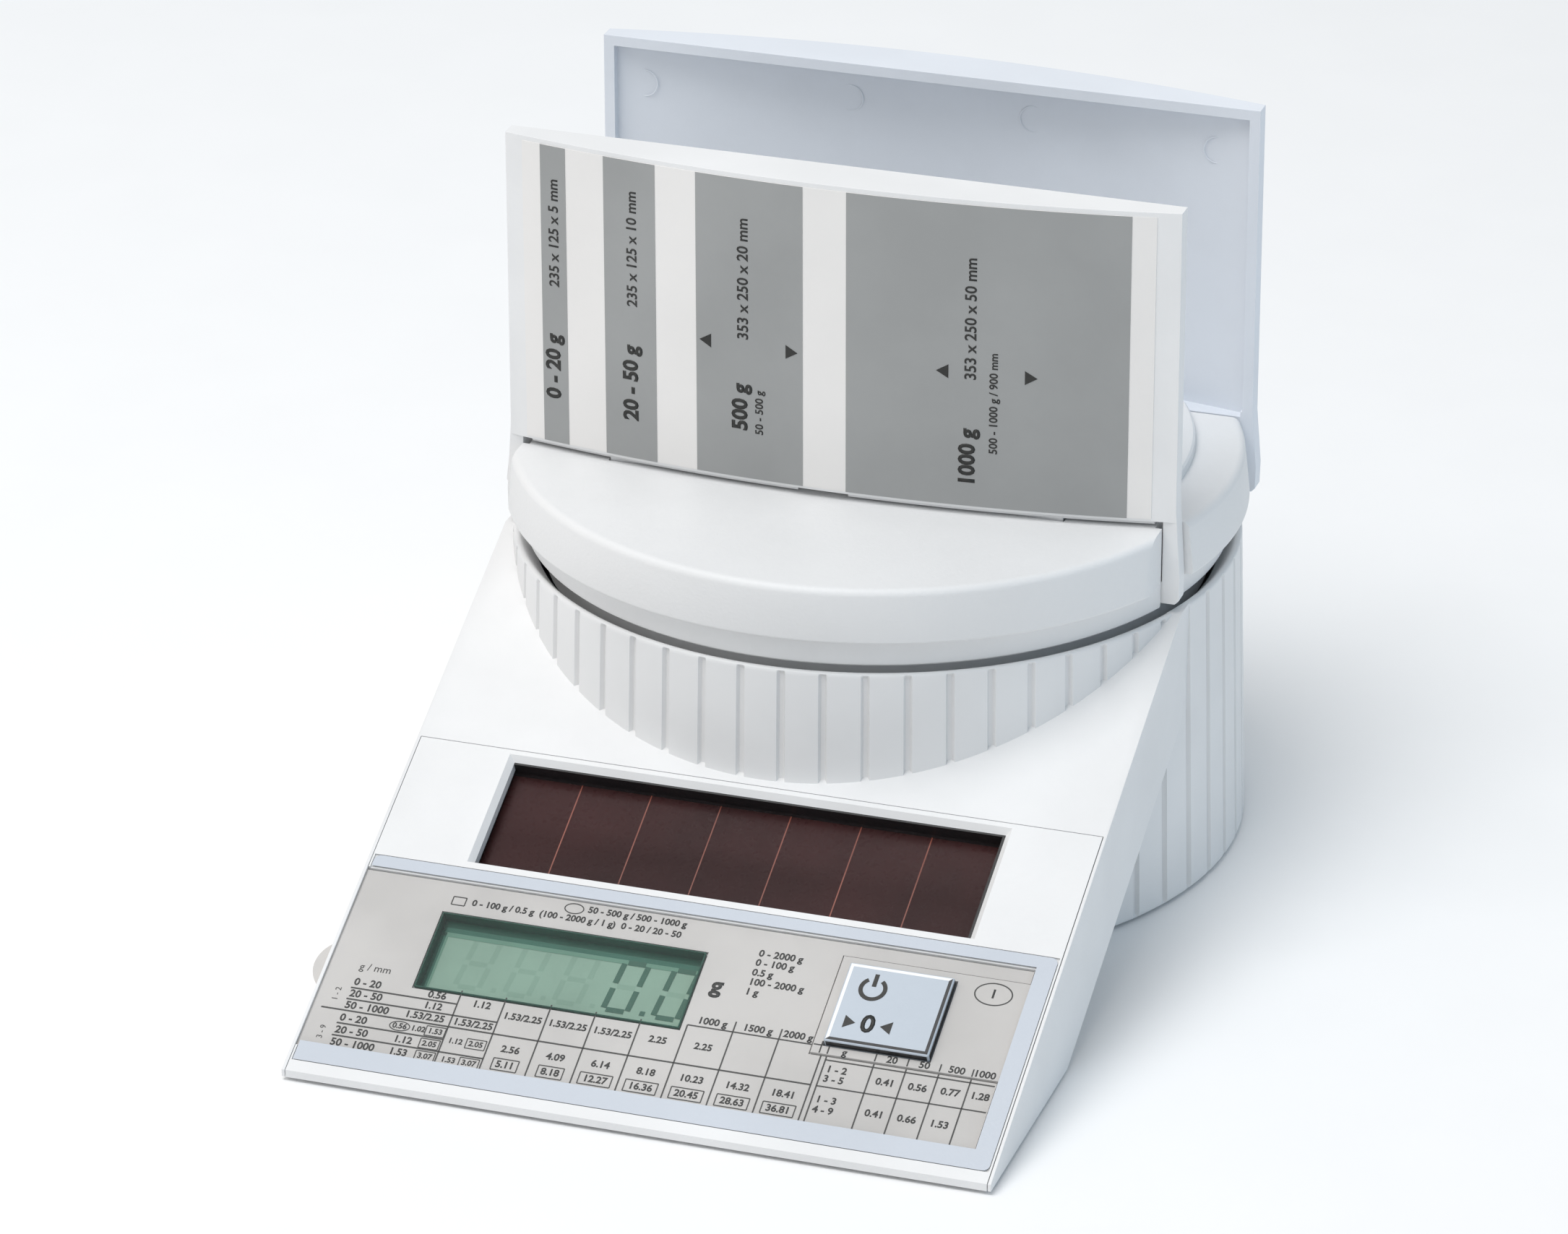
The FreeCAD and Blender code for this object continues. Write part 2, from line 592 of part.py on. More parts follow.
def makeFlap(footZ, lipZ, hasNotch):
    outer = flapArc(flapHalfW, flapCornerY, flapApexY, flapInnerY, footZ, flapTopZ)
    outer = softened(
        outer, 0.9,
        lambda e: e.BoundBox.YMin < flapCornerY - 3
        or (e.BoundBox.YMax < flapCornerY + 0.1 and e.BoundBox.ZLength > 10),
    )
    innerW = flapHalfW - flapWall
    innerCornerY = skinY(innerW, -flapWall)
    hollow = flapArc(
        innerW, innerCornerY, flapApexY + flapWall, flapInnerY + 1,
        footZ + flapWall, flapTopZ - flapWall,
    )
    flap = outer.cut(hollow)
    lip = flapArc(
        notchFloor - 0.3, skinY(notchFloor - 0.3, -1.2), flapApexY + 1.2, flapInnerY, lipZ, footZ + 1
    )
    if hasNotch:
        lip = lip.cut(box(-5.9, 3.3, -40, -22.0, lipZ - 1, footZ))
    flap = flap.fuse(lip)
    for side in (-1, 1):
        outline = [
            (earInnerX, footZ + 3), (earInnerX, panRimFootZ - 0.3), (earHookX, panRimFootZ - 0.9),
            (earHookX, earFootZ), (earFootX - 0.8, earFootZ), (earFootX - 0.1, earFootZ + 0.7),
            (earFootX, earFootZ + 5), (flapHalfW, footZ + 3),
        ]
        points = [Vector(side * x, flapCornerY, z) for x, z in outline]
        face = Part.Face(Part.makePolygon(points + points[:1]))
        flap = flap.fuse(face.extrude(Vector(0, flapInnerY - flapCornerY, 0)))
    for x0, x1 in tongues:
        flap = flap.fuse(box(x0, x1, tongueY[0], tongueY[1], tongueFootZ, footZ + 1))
    return flap.removeSplitter()


frontFlap = makeFlap(flapFootZ, panTopZ + flapGap, True)
rearFlap = makeFlap(rearSillZ + 0.4, rearSillZ, False)
ejectorZ = 122.1
for x in (-54.9, -17.0, 17.7, 53.2):
    y = skinY(x, -flapWall)
    ring = Part.makeCylinder(2.5, 0.9, Vector(x, y - 0.8, ejectorZ), Vector(0, 1, 0))
    core = Part.makeCylinder(2.3, 3, Vector(x, y - 1.5, ejectorZ), Vector(0, 1, 0))
    rearFlap = rearFlap.cut(ring.cut(core))
rearFlap = rearFlap.mirror(Vector(0, flapMirrorY, 0), Vector(0, 1, 0))


def skinStrip(x0, x1, z0, z1, lift0, lift1):
    """Thin sheet following the front flap's skin."""
    corners = []
    for x, lift in ((x0, lift0), (x1, lift0), (x1, lift1), (x0, lift1)):
        corners.append(Vector(x, skinY(x, lift), z0))
    mid = (x0 + x1) / 2
    edges = [
        Part.Arc(corners[0], Vector(mid, skinY(mid, lift0), z0), corners[1]).toShape(),
        Part.makeLine(corners[1], corners[2]),
        Part.Arc(corners[2], Vector(mid, skinY(mid, lift1), z0), corners[3]).toShape(),
        Part.makeLine(corners[3], corners[0]),
    ]
    return Part.Face(Part.Wire(edges)).extrude(Vector(0, 0, z1 - z0))


labelZ = (flapFootZ + 0.5, flapTopZ - 0.9)
gaugeLabel = skinStrip(-58.4, 57.6, labelZ[0], labelZ[1], 0.0, 0.12)
gaugeStripes = [skinStrip(a, b, labelZ[0], labelZ[1], 0.12, 0.18) for a, b in stripes]

# ---- Wires from the load cell to the board ----

cellWires = []
for i in range(4):
    x = -2.4 + i * 1.6
    path = [
        Vector(-14.0 - i * 1.4, -halfB, 20.0), Vector(-12.0 - i, -halfB - 5.0, 19.4),
        Vector(x - 3, -30.0, 10.0), Vector(x, -52.0, 14.0), Vector(x, -65.0, 20.5),
        slopePoint(x + 1.3, 73.0, boardBack - 1.9), slopePoint(x + 1.3, 71.0, boardBack - 1.6),
    ]
    curve = Part.BSplineCurve()
    curve.interpolate(path)
    spine = Part.Wire(curve.toShape())
    start = path[0]
    tangent = curve.tangent(curve.FirstParameter)[0]
    ring = Part.Wire(Part.makeCircle(0.45, start, tangent))
    cellWires.append(spine.makePipeShell([ring], True, False))

# ---- Write every node ----

nodes = {
    "drum_housing": [housing.removeSplitter()],
    "base_plate": [basePlate],
    "console_underside": [underside],
    "rubber_feet": feet,
    "base_screws": baseScrews,
    "console_screws": consoleScrews,
    "console_cover": [cover.removeSplitter()],
    "solar_tray": [tray],
    "solar_cell": [solarCell],
    "solar_window": [solarWindow],
    "display_foil": [foil],
    "key_surround": [surround],
    "lcd_glass": [lcdGlass],
    "lcd_holder": [lcdHolder],
    "zebra_strip": [zebra],
    "circuit_board": [board],
    "board_screws": boardScrews,
    "controller_chip": [chip],
    "board_components": parts,
    "key_switch": [switch],
    "solar_leads": solarLeads,
    "load_cell": [beam],
    "load_cell_spacer": [spacer],
    "load_cell_lower_screws": lowerScrews,
    "overload_stop": [stopScrew],
    "load_cell_wires": cellWires,
    "pan_carrier": [carrier],
    "load_cell_upper_screws": upperScrews,
    "platform_screws": panScrews,
    "weighing_platform": [platform],
    "front_flap": [frontFlap],
    "gauge_label": [gaugeLabel],
    "gauge_stripes": gaugeStripes,
    "rear_flap": [rearFlap],
    "on_off_key": [key],
    "tariff_card": [card],
}

# The origin goes to the bottom centre of the overall box: the drum's widest ring sets both sides
# and the back, and the console's nose sets the front.
shift = Vector(0, -(noseY + drumR(floorGap + 0.7)) / 2, 0)
print("shift", round(shift.y, 3))

os.makedirs("parts", exist_ok=True)
for name, solids in nodes.items():
    whole = Part.makeCompound(solids) if len(solids) > 1 else solids[0].copy()
    whole.translate(shift)
    count = len(whole.Solids)
    if count != len(solids) or not whole.isValid():
        print("CHECK", name, "solids", count, "wanted", len(solids), "valid", whole.isValid())
    whole.exportStep("parts/" + name + ".step")
    print(name, count, round(whole.Volume, 1))
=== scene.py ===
import math

import bmesh
import bpy
from mathutils import Matrix, Vector


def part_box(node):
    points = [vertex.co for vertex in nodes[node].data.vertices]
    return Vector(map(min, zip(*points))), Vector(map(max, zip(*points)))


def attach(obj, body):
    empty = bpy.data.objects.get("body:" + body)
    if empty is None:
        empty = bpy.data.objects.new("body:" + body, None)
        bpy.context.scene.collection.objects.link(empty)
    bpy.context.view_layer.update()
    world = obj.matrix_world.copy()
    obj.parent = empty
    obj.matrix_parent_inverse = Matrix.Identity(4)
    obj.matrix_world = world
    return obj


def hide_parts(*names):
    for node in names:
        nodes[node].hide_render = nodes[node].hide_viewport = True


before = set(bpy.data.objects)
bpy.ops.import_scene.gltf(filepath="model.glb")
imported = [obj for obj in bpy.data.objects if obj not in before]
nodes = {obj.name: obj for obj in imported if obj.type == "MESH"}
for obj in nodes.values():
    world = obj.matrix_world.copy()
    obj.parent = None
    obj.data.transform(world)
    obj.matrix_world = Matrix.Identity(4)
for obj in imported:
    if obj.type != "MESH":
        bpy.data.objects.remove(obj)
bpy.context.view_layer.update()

mm = 0.001

plateLow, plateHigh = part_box("base_plate")
drumAxisY = (plateLow.y + plateHigh.y) / 2          # the base plate is a disc on the drum's axis
print("frame loaded:", len(nodes), "parts")


def startMaterial(name):
    material = bpy.data.materials.new(name)
    material.use_nodes = True
    tree = material.node_tree
    shader = tree.nodes["Principled BSDF"]
    where = tree.nodes.new("ShaderNodeTexCoord")
    return material, tree, shader, where


def noiseNode(tree, where, scale, detail=4.0, stretch=None):
    noise = tree.nodes.new("ShaderNodeTexNoise")
    noise.inputs["Scale"].default_value = scale
    noise.inputs["Detail"].default_value = detail
    if stretch:
        mapping = tree.nodes.new("ShaderNodeMapping")
        mapping.inputs["Scale"].default_value = stretch
        tree.links.new(where.outputs["Object"], mapping.inputs["Vector"])
        tree.links.new(mapping.outputs["Vector"], noise.inputs["Vector"])
    else:
        tree.links.new(where.outputs["Object"], noise.inputs["Vector"])
    return noise


def rampNode(tree, source, stops):
    ramp = tree.nodes.new("ShaderNodeValToRGB")
    elements = ramp.color_ramp.elements
    while len(elements) < len(stops):
        elements.new(0.5)
    for element, (place, colour) in zip(elements, stops):
        element.position = place
        element.color = (*colour, 1.0)
    tree.links.new(source, ramp.inputs["Fac"])
    return ramp


def rangeNode(tree, source, low, high):
    spread = tree.nodes.new("ShaderNodeMapRange")
    spread.inputs["From Min"].default_value = 0.3
    spread.inputs["From Max"].default_value = 0.7
    spread.inputs["To Min"].default_value = low
    spread.inputs["To Max"].default_value = high
    tree.links.new(source, spread.inputs["Value"])
    return spread


def shade(colour, factor):
    return tuple(min(1.0, c * factor) for c in colour)


# a moulded, cast, painted or milled surface: faint mottling, uneven gloss and a fine grain
def grainedFinish(name, colour, rough=0.45, grain=2500, depth=0.00004, mottle=0.03,
                  metal=0.0, stretch=None, coat=0.0, specular=0.5):
    material, tree, shader, where = startMaterial(name)
    clouds = noiseNode(tree, where, 38, 5)
    ramp = rampNode(tree, clouds.outputs["Fac"], [
        (0.35, shade(colour, 1 - mottle)), (0.65, shade(colour, 1 + mottle)),
    ])
    tree.links.new(ramp.outputs["Color"], shader.inputs["Base Color"])
    fine = noiseNode(tree, where, grain, 3, stretch)
    gloss = rangeNode(tree, fine.outputs["Fac"], max(0.02, rough - 0.06), rough + 0.06)
    tree.links.new(gloss.outputs["Result"], shader.inputs["Roughness"])
    bump = tree.nodes.new("ShaderNodeBump")
    bump.inputs["Strength"].default_value = 1.0
    bump.inputs["Distance"].default_value = depth
    tree.links.new(fine.outputs["Fac"], bump.inputs["Height"])
    tree.links.new(bump.outputs["Normal"], shader.inputs["Normal"])
    shader.inputs["Metallic"].default_value = metal
    shader.inputs["Coat Weight"].default_value = coat
    shader.inputs["Specular IOR Level"].default_value = specular
    return material


# clear film or window: mostly see-through, with gloss and faint handling haze
def clearFinish(name, colour, alpha, rough, specular=0.2):
    material = grainedFinish(name, colour, rough, 900, 0.000004, 0.01)
    shader = material.node_tree.nodes["Principled BSDF"]
    shader.inputs["Alpha"].default_value = alpha
    shader.inputs["Specular IOR Level"].default_value = specular
    return material


finishes = {
    "housingWhite": grainedFinish("housingWhite", (0.80, 0.80, 0.80), 0.42, 2600, 0.00001),
    "panWhite": grainedFinish("panWhite", (0.80, 0.80, 0.80), 0.5, 1500, 0.00005, 0.02),
    "flapWhite": grainedFinish("flapWhite", (0.82, 0.82, 0.82), 0.4, 2600, 0.00001),
    "footRubber": grainedFinish("footRubber", (0.03, 0.03, 0.03), 0.8, 1800, 0.00006, 0.15),
    "screwSteel": grainedFinish("screwSteel", (0.6, 0.61, 0.63), 0.3, 3000, 0.00001, 0.05, 1.0),
    "trayBlack": grainedFinish("trayBlack", (0.012, 0.012, 0.013), 0.4, 2200, 0.00002, 0.1),
    "cellBrown": grainedFinish("cellBrown", (0.032, 0.007, 0.007), 0.3, 900, 0.000003, 0.25, specular=0.15),
    "cellLine": grainedFinish("cellLine", (0.24, 0.06, 0.035), 0.35, 2600, 0.00001, 0.2),
    "clearWindow": clearFinish("clearWindow", (0.30, 0.24, 0.24), 0.03, 0.1, 0.1),
    "clearFoil": clearFinish("clearFoil", (0.60, 0.60, 0.60), 0.03, 0.22, 0.15),
    "foilBorder": grainedFinish("foilBorder", (0.55, 0.59, 0.65), 0.35, 2600, 0.00001, 0.02),
    "lcdGround": grainedFinish("lcdGround", (0.235, 0.37, 0.29), 0.4, 1500, 0.00001, 0.1, specular=0.2),
    "lcdGhost": grainedFinish("lcdGhost", (0.205, 0.335, 0.26), 0.4, 1500, 0.00001, 0.1, specular=0.2),
    "lcdDigit": grainedFinish("lcdDigit", (0.035, 0.115, 0.08), 0.4, 1500, 0.00001, 0.15, specular=0.2),
    # the next three finishes are painted shade: the display recess's shadow on the glass, darkest nearest
    # the edge; the darkest one also colours the liner, whose own dark green it deepens with painted shade
    "lcdDarkGreenAndShade": grainedFinish("lcdDarkGreenAndShade", (0.007, 0.07, 0.045), 0.4, 1500, 0.00001, 0.15, specular=0.2),
    "lcdShade": grainedFinish("lcdShade", (0.03, 0.13, 0.09), 0.4, 1500, 0.00001, 0.12, specular=0.2),
    "lcdHalfShade": grainedFinish("lcdHalfShade", (0.12, 0.26, 0.19), 0.4, 1500, 0.00001, 0.1,
                                  specular=0.2),
    "contactRubber": grainedFinish("contactRubber", (0.7, 0.3, 0.35), 0.7, 2400, 0.00003, 0.1),
    "boardGreen": grainedFinish("boardGreen", (0.02, 0.16, 0.07), 0.35, 1500, 0.00002, 0.15, coat=0.3),
    "componentGrey": grainedFinish("componentGrey", (0.14, 0.15, 0.17), 0.4, 1800, 0.00002, 0.12),
    "leadCopper": grainedFinish("leadCopper", (0.7, 0.42, 0.22), 0.3, 2600, 0.00001, 0.1, 1.0),
    "milledAluminium": grainedFinish("milledAluminium", (0.72, 0.73, 0.75), 0.32, 700, 0.00003,
                                     0.04, 1.0, (1, 14, 1)),
    "wireSleeve": grainedFinish("wireSleeve", (0.45, 0.04, 0.03), 0.5, 2200, 0.00002, 0.1),
    "carrierGrey": grainedFinish("carrierGrey", (0.3, 0.32, 0.35), 0.45, 1800, 0.00003, 0.05),
    # painted shade: the rear flap's white is made darker and bluer, as its inner face lies in shade between
    # the flaps
    "rearFlapPaintedShade": grainedFinish("rearFlapPaintedShade", (0.75, 0.785, 0.84), 0.4, 2600, 0.00001),
    "labelPaper": grainedFinish("labelPaper", (0.84, 0.82, 0.80), 0.42, 1400, 0.00001, 0.02),
    "stripeGrey": grainedFinish("stripeGrey", (0.335, 0.34, 0.337), 0.42, 1900, 0.00001, 0.05),
    "cardPaper": grainedFinish("cardPaper", (0.56, 0.54, 0.52), 0.5, 2300, 0.00001, 0.07),
    "printInk": grainedFinish("printInk", (0.02, 0.02, 0.018), 0.5, 2600, 0.00001, 0.2),
    "keyCap": grainedFinish("keyCap", (0.5, 0.555, 0.62), 0.35, 2300, 0.00001, 0.03),
    # the next two finishes are a painted highlight for the key's lit top and left edges and painted shade
    # for its bottom and right edges and the gap beside them
    "keyPaintedHighlight": grainedFinish("keyPaintedHighlight", (0.9, 0.91, 0.92), 0.35, 2300, 0.00001, 0.02),
    "keyPaintedShade": grainedFinish("keyPaintedShade", (0.02, 0.02, 0.022), 0.4, 2300, 0.00001, 0.1),
}
print("materials made:", len(finishes))


# lengths are in mm, measured from the drum's axis at table level
def at(x, y, z):
    return Vector((x * mm, drumAxisY + y * mm, z * mm))


def addPiece(name, mesh, finish, body, replaced=(), smooth=30):
    piece = bpy.data.objects.new(name, mesh)
    bpy.context.scene.collection.objects.link(piece)
    if not mesh.materials:
        mesh.materials.append(finishes[finish])
    if smooth:
        mesh.shade_smooth()
        mesh.set_sharp_from_angle(angle=math.radians(smooth))
    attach(piece, body)
    if replaced:
        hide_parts(*replaced)
    return piece


def meshOf(name, points, faces):
    mesh = bpy.data.meshes.new(name)
    mesh.from_pydata(points, [], faces)
    bm = bmesh.new()
    bm.from_mesh(mesh)
    bmesh.ops.remove_doubles(bm, verts=bm.verts, dist=1e-7)
    bmesh.ops.recalc_face_normals(bm, faces=bm.faces)
    bm.to_mesh(mesh)
    bm.free()
    return mesh


# quads over a list of equally long rows of points
def gridMesh(name, rows, closedRows, closedColumns):
    count = len(rows[0])
    points = [p for row in rows for p in row]
    faces = []
    for i in range(len(rows) if closedRows else len(rows) - 1):
        for j in range(count if closedColumns else count - 1):
            a, b = i * count + j, i * count + (j + 1) % count
            c = ((i + 1) % len(rows)) * count
            faces.append((a, b, c + (j + 1) % count, c + j))
    return meshOf(name, points, faces)


# turns (r, z) steps about the drum's axis; a step with r = 0 closes to a point
def latheMesh(name, profile, angles):
    rows = []
    for r, z in profile:
        rows.append([at(r * math.cos(t), r * math.sin(t), z) for t in angles])
    return gridMesh(name, rows, True, True)


def prismFaces(n):
    sides = [(i, (i + 1) % n, n + (i + 1) % n, n + i) for i in range(n)]
    return [tuple(range(n)), tuple(range(n, 2 * n))] + sides


def fullTurn(steps):
    return [2 * math.pi * i / steps for i in range(steps)]


# extrudes an outline of 2-D points; along is the axis it runs on: "x", "y" or "z"
def prismMesh(name, outline, low, high, along):
    place = {
        "x": lambda p, w: at(w, p[0], p[1]),
        "y": lambda p, w: at(p[0], w, p[1]),
        "z": lambda p, w: at(p[0], p[1], w),
    }[along]
    n = len(outline)
    points = [place(p, low) for p in outline] + [place(p, high) for p in outline]
    return meshOf(name, points, prismFaces(n))


def blockMesh(name, x, y, z):
    outline = [(x[0], y[0]), (x[1], y[0]), (x[1], y[1]), (x[0], y[1])]
    return prismMesh(name, outline, z[0], z[1], "z")


boxFaces = [(0, 1, 2, 3), (4, 5, 6, 7), (0, 1, 5, 4), (1, 2, 6, 5), (2, 3, 7, 6), (3, 0, 4, 7)]


# a block in console coordinates: across, up the slope, and out of the slope
def slopeBlock(name, x, u, n):
    corners = []
    for depth in n:
        for cx, cu in ((x[0], u[0]), (x[1], u[0]), (x[1], u[1]), (x[0], u[1])):
            corners.append(onSlope(cx, cu, depth))
    return meshOf(name, corners, boxFaces)


# cuts away or adds closed meshes with exact booleans, and keeps the result
def combine(piece, meshes, operation):
    for mesh in meshes:
        tool = bpy.data.objects.new("tool", mesh)
        bpy.context.scene.collection.objects.link(tool)
        modifier = piece.modifiers.new("combine", "BOOLEAN")
        modifier.operation = operation
        modifier.solver = "EXACT"
        modifier.object = tool
        settled = bpy.data.meshes.new_from_object(
            piece.evaluated_get(bpy.context.evaluated_depsgraph_get())
        )
        piece.modifiers.clear()
        piece.data = settled
        bpy.data.objects.remove(tool)
    return piece


def solidOf(mesh):
    holder = bpy.data.objects.new("solid", mesh)
    bpy.context.scene.collection.objects.link(holder)
    return holder


# takes the mesh back from a working object and merges its flat faces
def settle(holder, angle=0.5):
    mesh = holder.data
    bpy.data.objects.remove(holder)
    bm = bmesh.new()
    bm.from_mesh(mesh)
    bmesh.ops.remove_doubles(bm, verts=bm.verts, dist=2e-7)
    if angle:
        bmesh.ops.dissolve_limit(bm, angle_limit=math.radians(angle), verts=bm.verts, edges=bm.edges)
    bm.to_mesh(mesh)
    bm.free()
    return mesh


def softenEdges(piece, width, segments=3, angle=30):
    bevel = piece.modifiers.new("softEdges", "BEVEL")
    bevel.width = width * mm
    bevel.segments = segments
    bevel.limit_method = "ANGLE"
    bevel.angle_limit = math.radians(angle)
    bevel.harden_normals = True
    bevel.use_clamp_overlap = True
    return piece


drum = {
    "footR": 67.4, "topR": 65.75, "topZ": 56.3, "innerR": 63.4, "lipR": 61.6,
    "ribs": 56, "grooveHalf": 0.78, "grooveFloorHalf": 0.42, "grooveDepth": 0.8, "grooveR": 66.5,
    "floor": 0.5,
}


def drumRadius(z):
    share = (z - drum["floor"]) / (drum["topZ"] - drum["floor"])
    return drum["footR"] + (drum["topR"] - drum["footR"]) * share


# how deep the groove is this far from its middle, as a share of its depth
def grooveShape(distance):
    floorHalf, wallHalf = drum["grooveFloorHalf"], drum["grooveHalf"]
    if distance <= floorHalf:
        return 1.0
    if distance >= wallHalf:
        return 0.0
    return 1 - (distance - floorHalf) / (wallHalf - floorHalf)


def buildDrum():
    pitch = 2 * math.pi / drum["ribs"]
    # distances from a groove's middle, closest at its walls
    offsets = [0, 0.2, 0.36, 0.42, 0.47, 0.56, 0.67, 0.78, 0.84, 1.0, 1.4, 2.2, 3.0]
    angles, depths = [], []
    for i in range(drum["ribs"]):
        middle = -math.pi / 2 + (i + 0.5) * pitch
        spread = [-o for o in reversed(offsets[1:])] + offsets
        for offset in spread:
            angles.append(middle + offset / drum["grooveR"])
            depths.append(grooveShape(abs(offset)) * drum["grooveDepth"])
    # height, inset from the side, share of the groove's depth
    wall = [
        (0.5, -0.75, 0), (0.56, -0.35, 0), (0.75, -0.12, 0.6), (1.1, 0, 0.9), (1.6, 0, 1), (14, 0, 1),
        (28, 0, 1), (42, 0, 1), (54.9, 0, 1), (55.3, 0, 0.97), (55.55, 0, 0.8), (55.75, -0.02, 0.5),
        (55.9, -0.06, 0.2), (56.02, -0.1, 0.05), (56.12, -0.18, 0), (56.22, -0.33, 0), (56.3, -0.6, 0),
    ]
    rows = []
    for z, inset, deep in wall:
        row = []
        for t, d in zip(angles, depths):
            r = drumRadius(z) + inset - d * deep
            row.append(at(r * math.cos(t), r * math.sin(t), z))
        rows.append(row)
    lip, inner = drum["lipR"], drum["innerR"]
    inside = [(64.75, 56.2), (64.4, 56.0), (61.9, 53.1), (61.65, 52.8), (lip, 52.3), (lip, 50.4),
              (inner, 47.8), (inner, 3.4), (inner, drum["floor"])]
    for r, z in inside:
        rows.append([at(r * math.cos(t), r * math.sin(t), z) for t in angles])
    mesh = gridMesh("ribbedDrum", rows, True, True)
    return addPiece("ribbedDrum", mesh, "housingWhite", "base", ["drum_housing"], 50)


ribbedDrum = buildDrum()
print("drum built:", len(ribbedDrum.data.vertices), "points")

console = {
    "slopeDeg": 26.0, "toeY": -137.9, "halfW": 63.2, "depth": 20.7, "wall": 2.0, "rim": 0.6,
    "cover": 2.6, "seamU": 78.2, "noseY": -134.1, "floor": 0.5, "seamGap": 0.16,
    "backY": -12, "hollowY": (-138.1, -80, -9), "plugR": 64.6, "cardMouthU": (9.75, 48.75),
}
slopeAngle = math.radians(console["slopeDeg"])
slopeSin, slopeCos = math.sin(slopeAngle), math.cos(slopeAngle)
slopeTan = math.tan(slopeAngle)


def slopeYz(u, n):
    return (console["toeY"] + u * slopeCos - n * slopeSin, u * slopeSin + n * slopeCos)


def onSlope(x, u, n):
    y, z = slopeYz(u, n)
    return at(x, y, z)


# height of the plane n below the console's top, above a point y
def slopeHeight(y, n=0.0):
    return (y - console["toeY"]) * slopeTan + n / slopeCos


def buildConsole():
    half, inner, floor = console["halfW"], console["halfW"] - console["wall"], console["floor"]
    kinkY = console["toeY"] + (floor - slopeHeight(console["toeY"], -console["depth"])) / slopeTan
    topY = console["toeY"] + drum["topZ"] / slopeTan
    backY = console["backY"]
    outline = [
        (console["noseY"], floor), (kinkY, floor), (backY, slopeHeight(backY, -console["depth"])),
        (backY, drum["topZ"] - 0.05), (topY, drum["topZ"] - 0.05),
        (console["noseY"], slopeHeight(console["noseY"])),
    ]
    shell = solidOf(prismMesh("consoleShell", outline, -half, half, "x"))
    frontY, kneeY, endY = console["hollowY"]
    hollow = [(frontY, -3), (kneeY, -3), (endY, 24), (endY, slopeHeight(endY, -console["cover"]))]
    turn = fullTurn(224)
    plugR = console["plugR"]
    plug = latheMesh("plug", [(0, -5), (plugR, -5), (plugR, 80), (0, 80)], turn)
    tools = [
        prismMesh("hollow", hollow, -inner, inner, "x"),
        slopeBlock("coverSeat", (-half + console["rim"], half - console["rim"]),
                   (-12, console["seamU"]), (-console["cover"] - 0.3, 9)),
        plug,
        slopeBlock("cardMouth", (-80, -56), console["cardMouthU"], (-1.3, -0.35)),
    ]
    combine(shell, tools, "DIFFERENCE")
    mesh = settle(shell)
    piece = addPiece("consoleShell", mesh, "housingWhite", "base",
                     ["drum_housing"])
    return softenEdges(piece, 0.3, 3)


buildConsole()
print("console shell built")

cover = {
    "gap": 0.15, "solarX": (-44.5, 45.6), "solarU": (53.3, 76.1), "bevelSide": 1.2, "bevelDrop": 1.0,
    "noseBackY": -126.2, "noseInset": 1.6,
}
panel = {"halfW": 62.0, "u": (6.75, 51.45), "band": 3.3, "thick": 0.35, "pocket": 1.3}
keyPlace = {"x": (27.35, 45.95), "u": (26.95, 43.65), "gap": 0.3, "proud": 1.0, "edge": 0.3,
            "bevel": 0.55, "stroke": 0.75}
lcdPlace = {"x": (-46.35, 1.75), "u": (25.7, 41.9)}


def buildCover():
    half = console["halfW"] - console["rim"] - cover["gap"]
    plate = solidOf(slopeBlock("consoleCover", (-half, half), (-3, console["seamU"] - console["seamGap"]),
                               (-console["cover"], 0)))
    nose, noseBack, noseHalf = console["noseY"], cover["noseBackY"], half - cover["noseInset"]
    front = [(nose, -3), (noseBack, -3), (noseBack, slopeHeight(noseBack, -0.3)),
             (nose, slopeHeight(nose, -0.3))]
    combine(plate, [prismMesh("noseBlock", front, -noseHalf, noseHalf, "x")], "UNION")
    (x0, x1), (u0, u1), side = cover["solarX"], cover["solarU"], cover["bevelSide"]
    outer = ((x0 - side, u0 - 0.5), (x1 + side, u0 - 0.5), (x1 + side, u1 + side), (x0 - side, u1 + side))
    slant = [onSlope(x, u, 0.2) for x, u in outer]
    slant += [onSlope(x, u, -cover["bevelDrop"]) for x, u in ((x0, u0), (x1, u0), (x1, u1), (x0, u1))]
    gap, slack = keyPlace["gap"], cover["gap"]
    tools = [
        blockMesh("below", (-90, 90), (-200, 0), (-30, console["floor"])),
        blockMesh("ahead", (-90, 90), (-220, nose), (-30, 60)),
        slopeBlock("solarHole", (x0, x1), (u0, u1), (-9, 3)),
        meshOf("solarSlant", slant, boxFaces),
        slopeBlock("foilSeat", (-panel["halfW"] - slack, panel["halfW"] + slack),
                   (panel["u"][0] - slack, panel["u"][1] + slack), (-panel["thick"], 3)),
        slopeBlock("cardPocket", (-90, panel["halfW"] - panel["band"]), console["cardMouthU"],
                   (-panel["pocket"], 0.5)),
        slopeBlock("keyHole", (keyPlace["x"][0] - gap, keyPlace["x"][1] + gap),
                   (keyPlace["u"][0] - gap, keyPlace["u"][1] + gap), (-9, 3)),
        slopeBlock("lcdHole", lcdPlace["x"], lcdPlace["u"], (-9, 3)),
    ]
    combine(plate, tools, "DIFFERENCE")
    return addPiece("consoleCover", settle(plate, 0), "housingWhite", "base",
                    ["console_cover"])


buildCover()
print("console cover built")

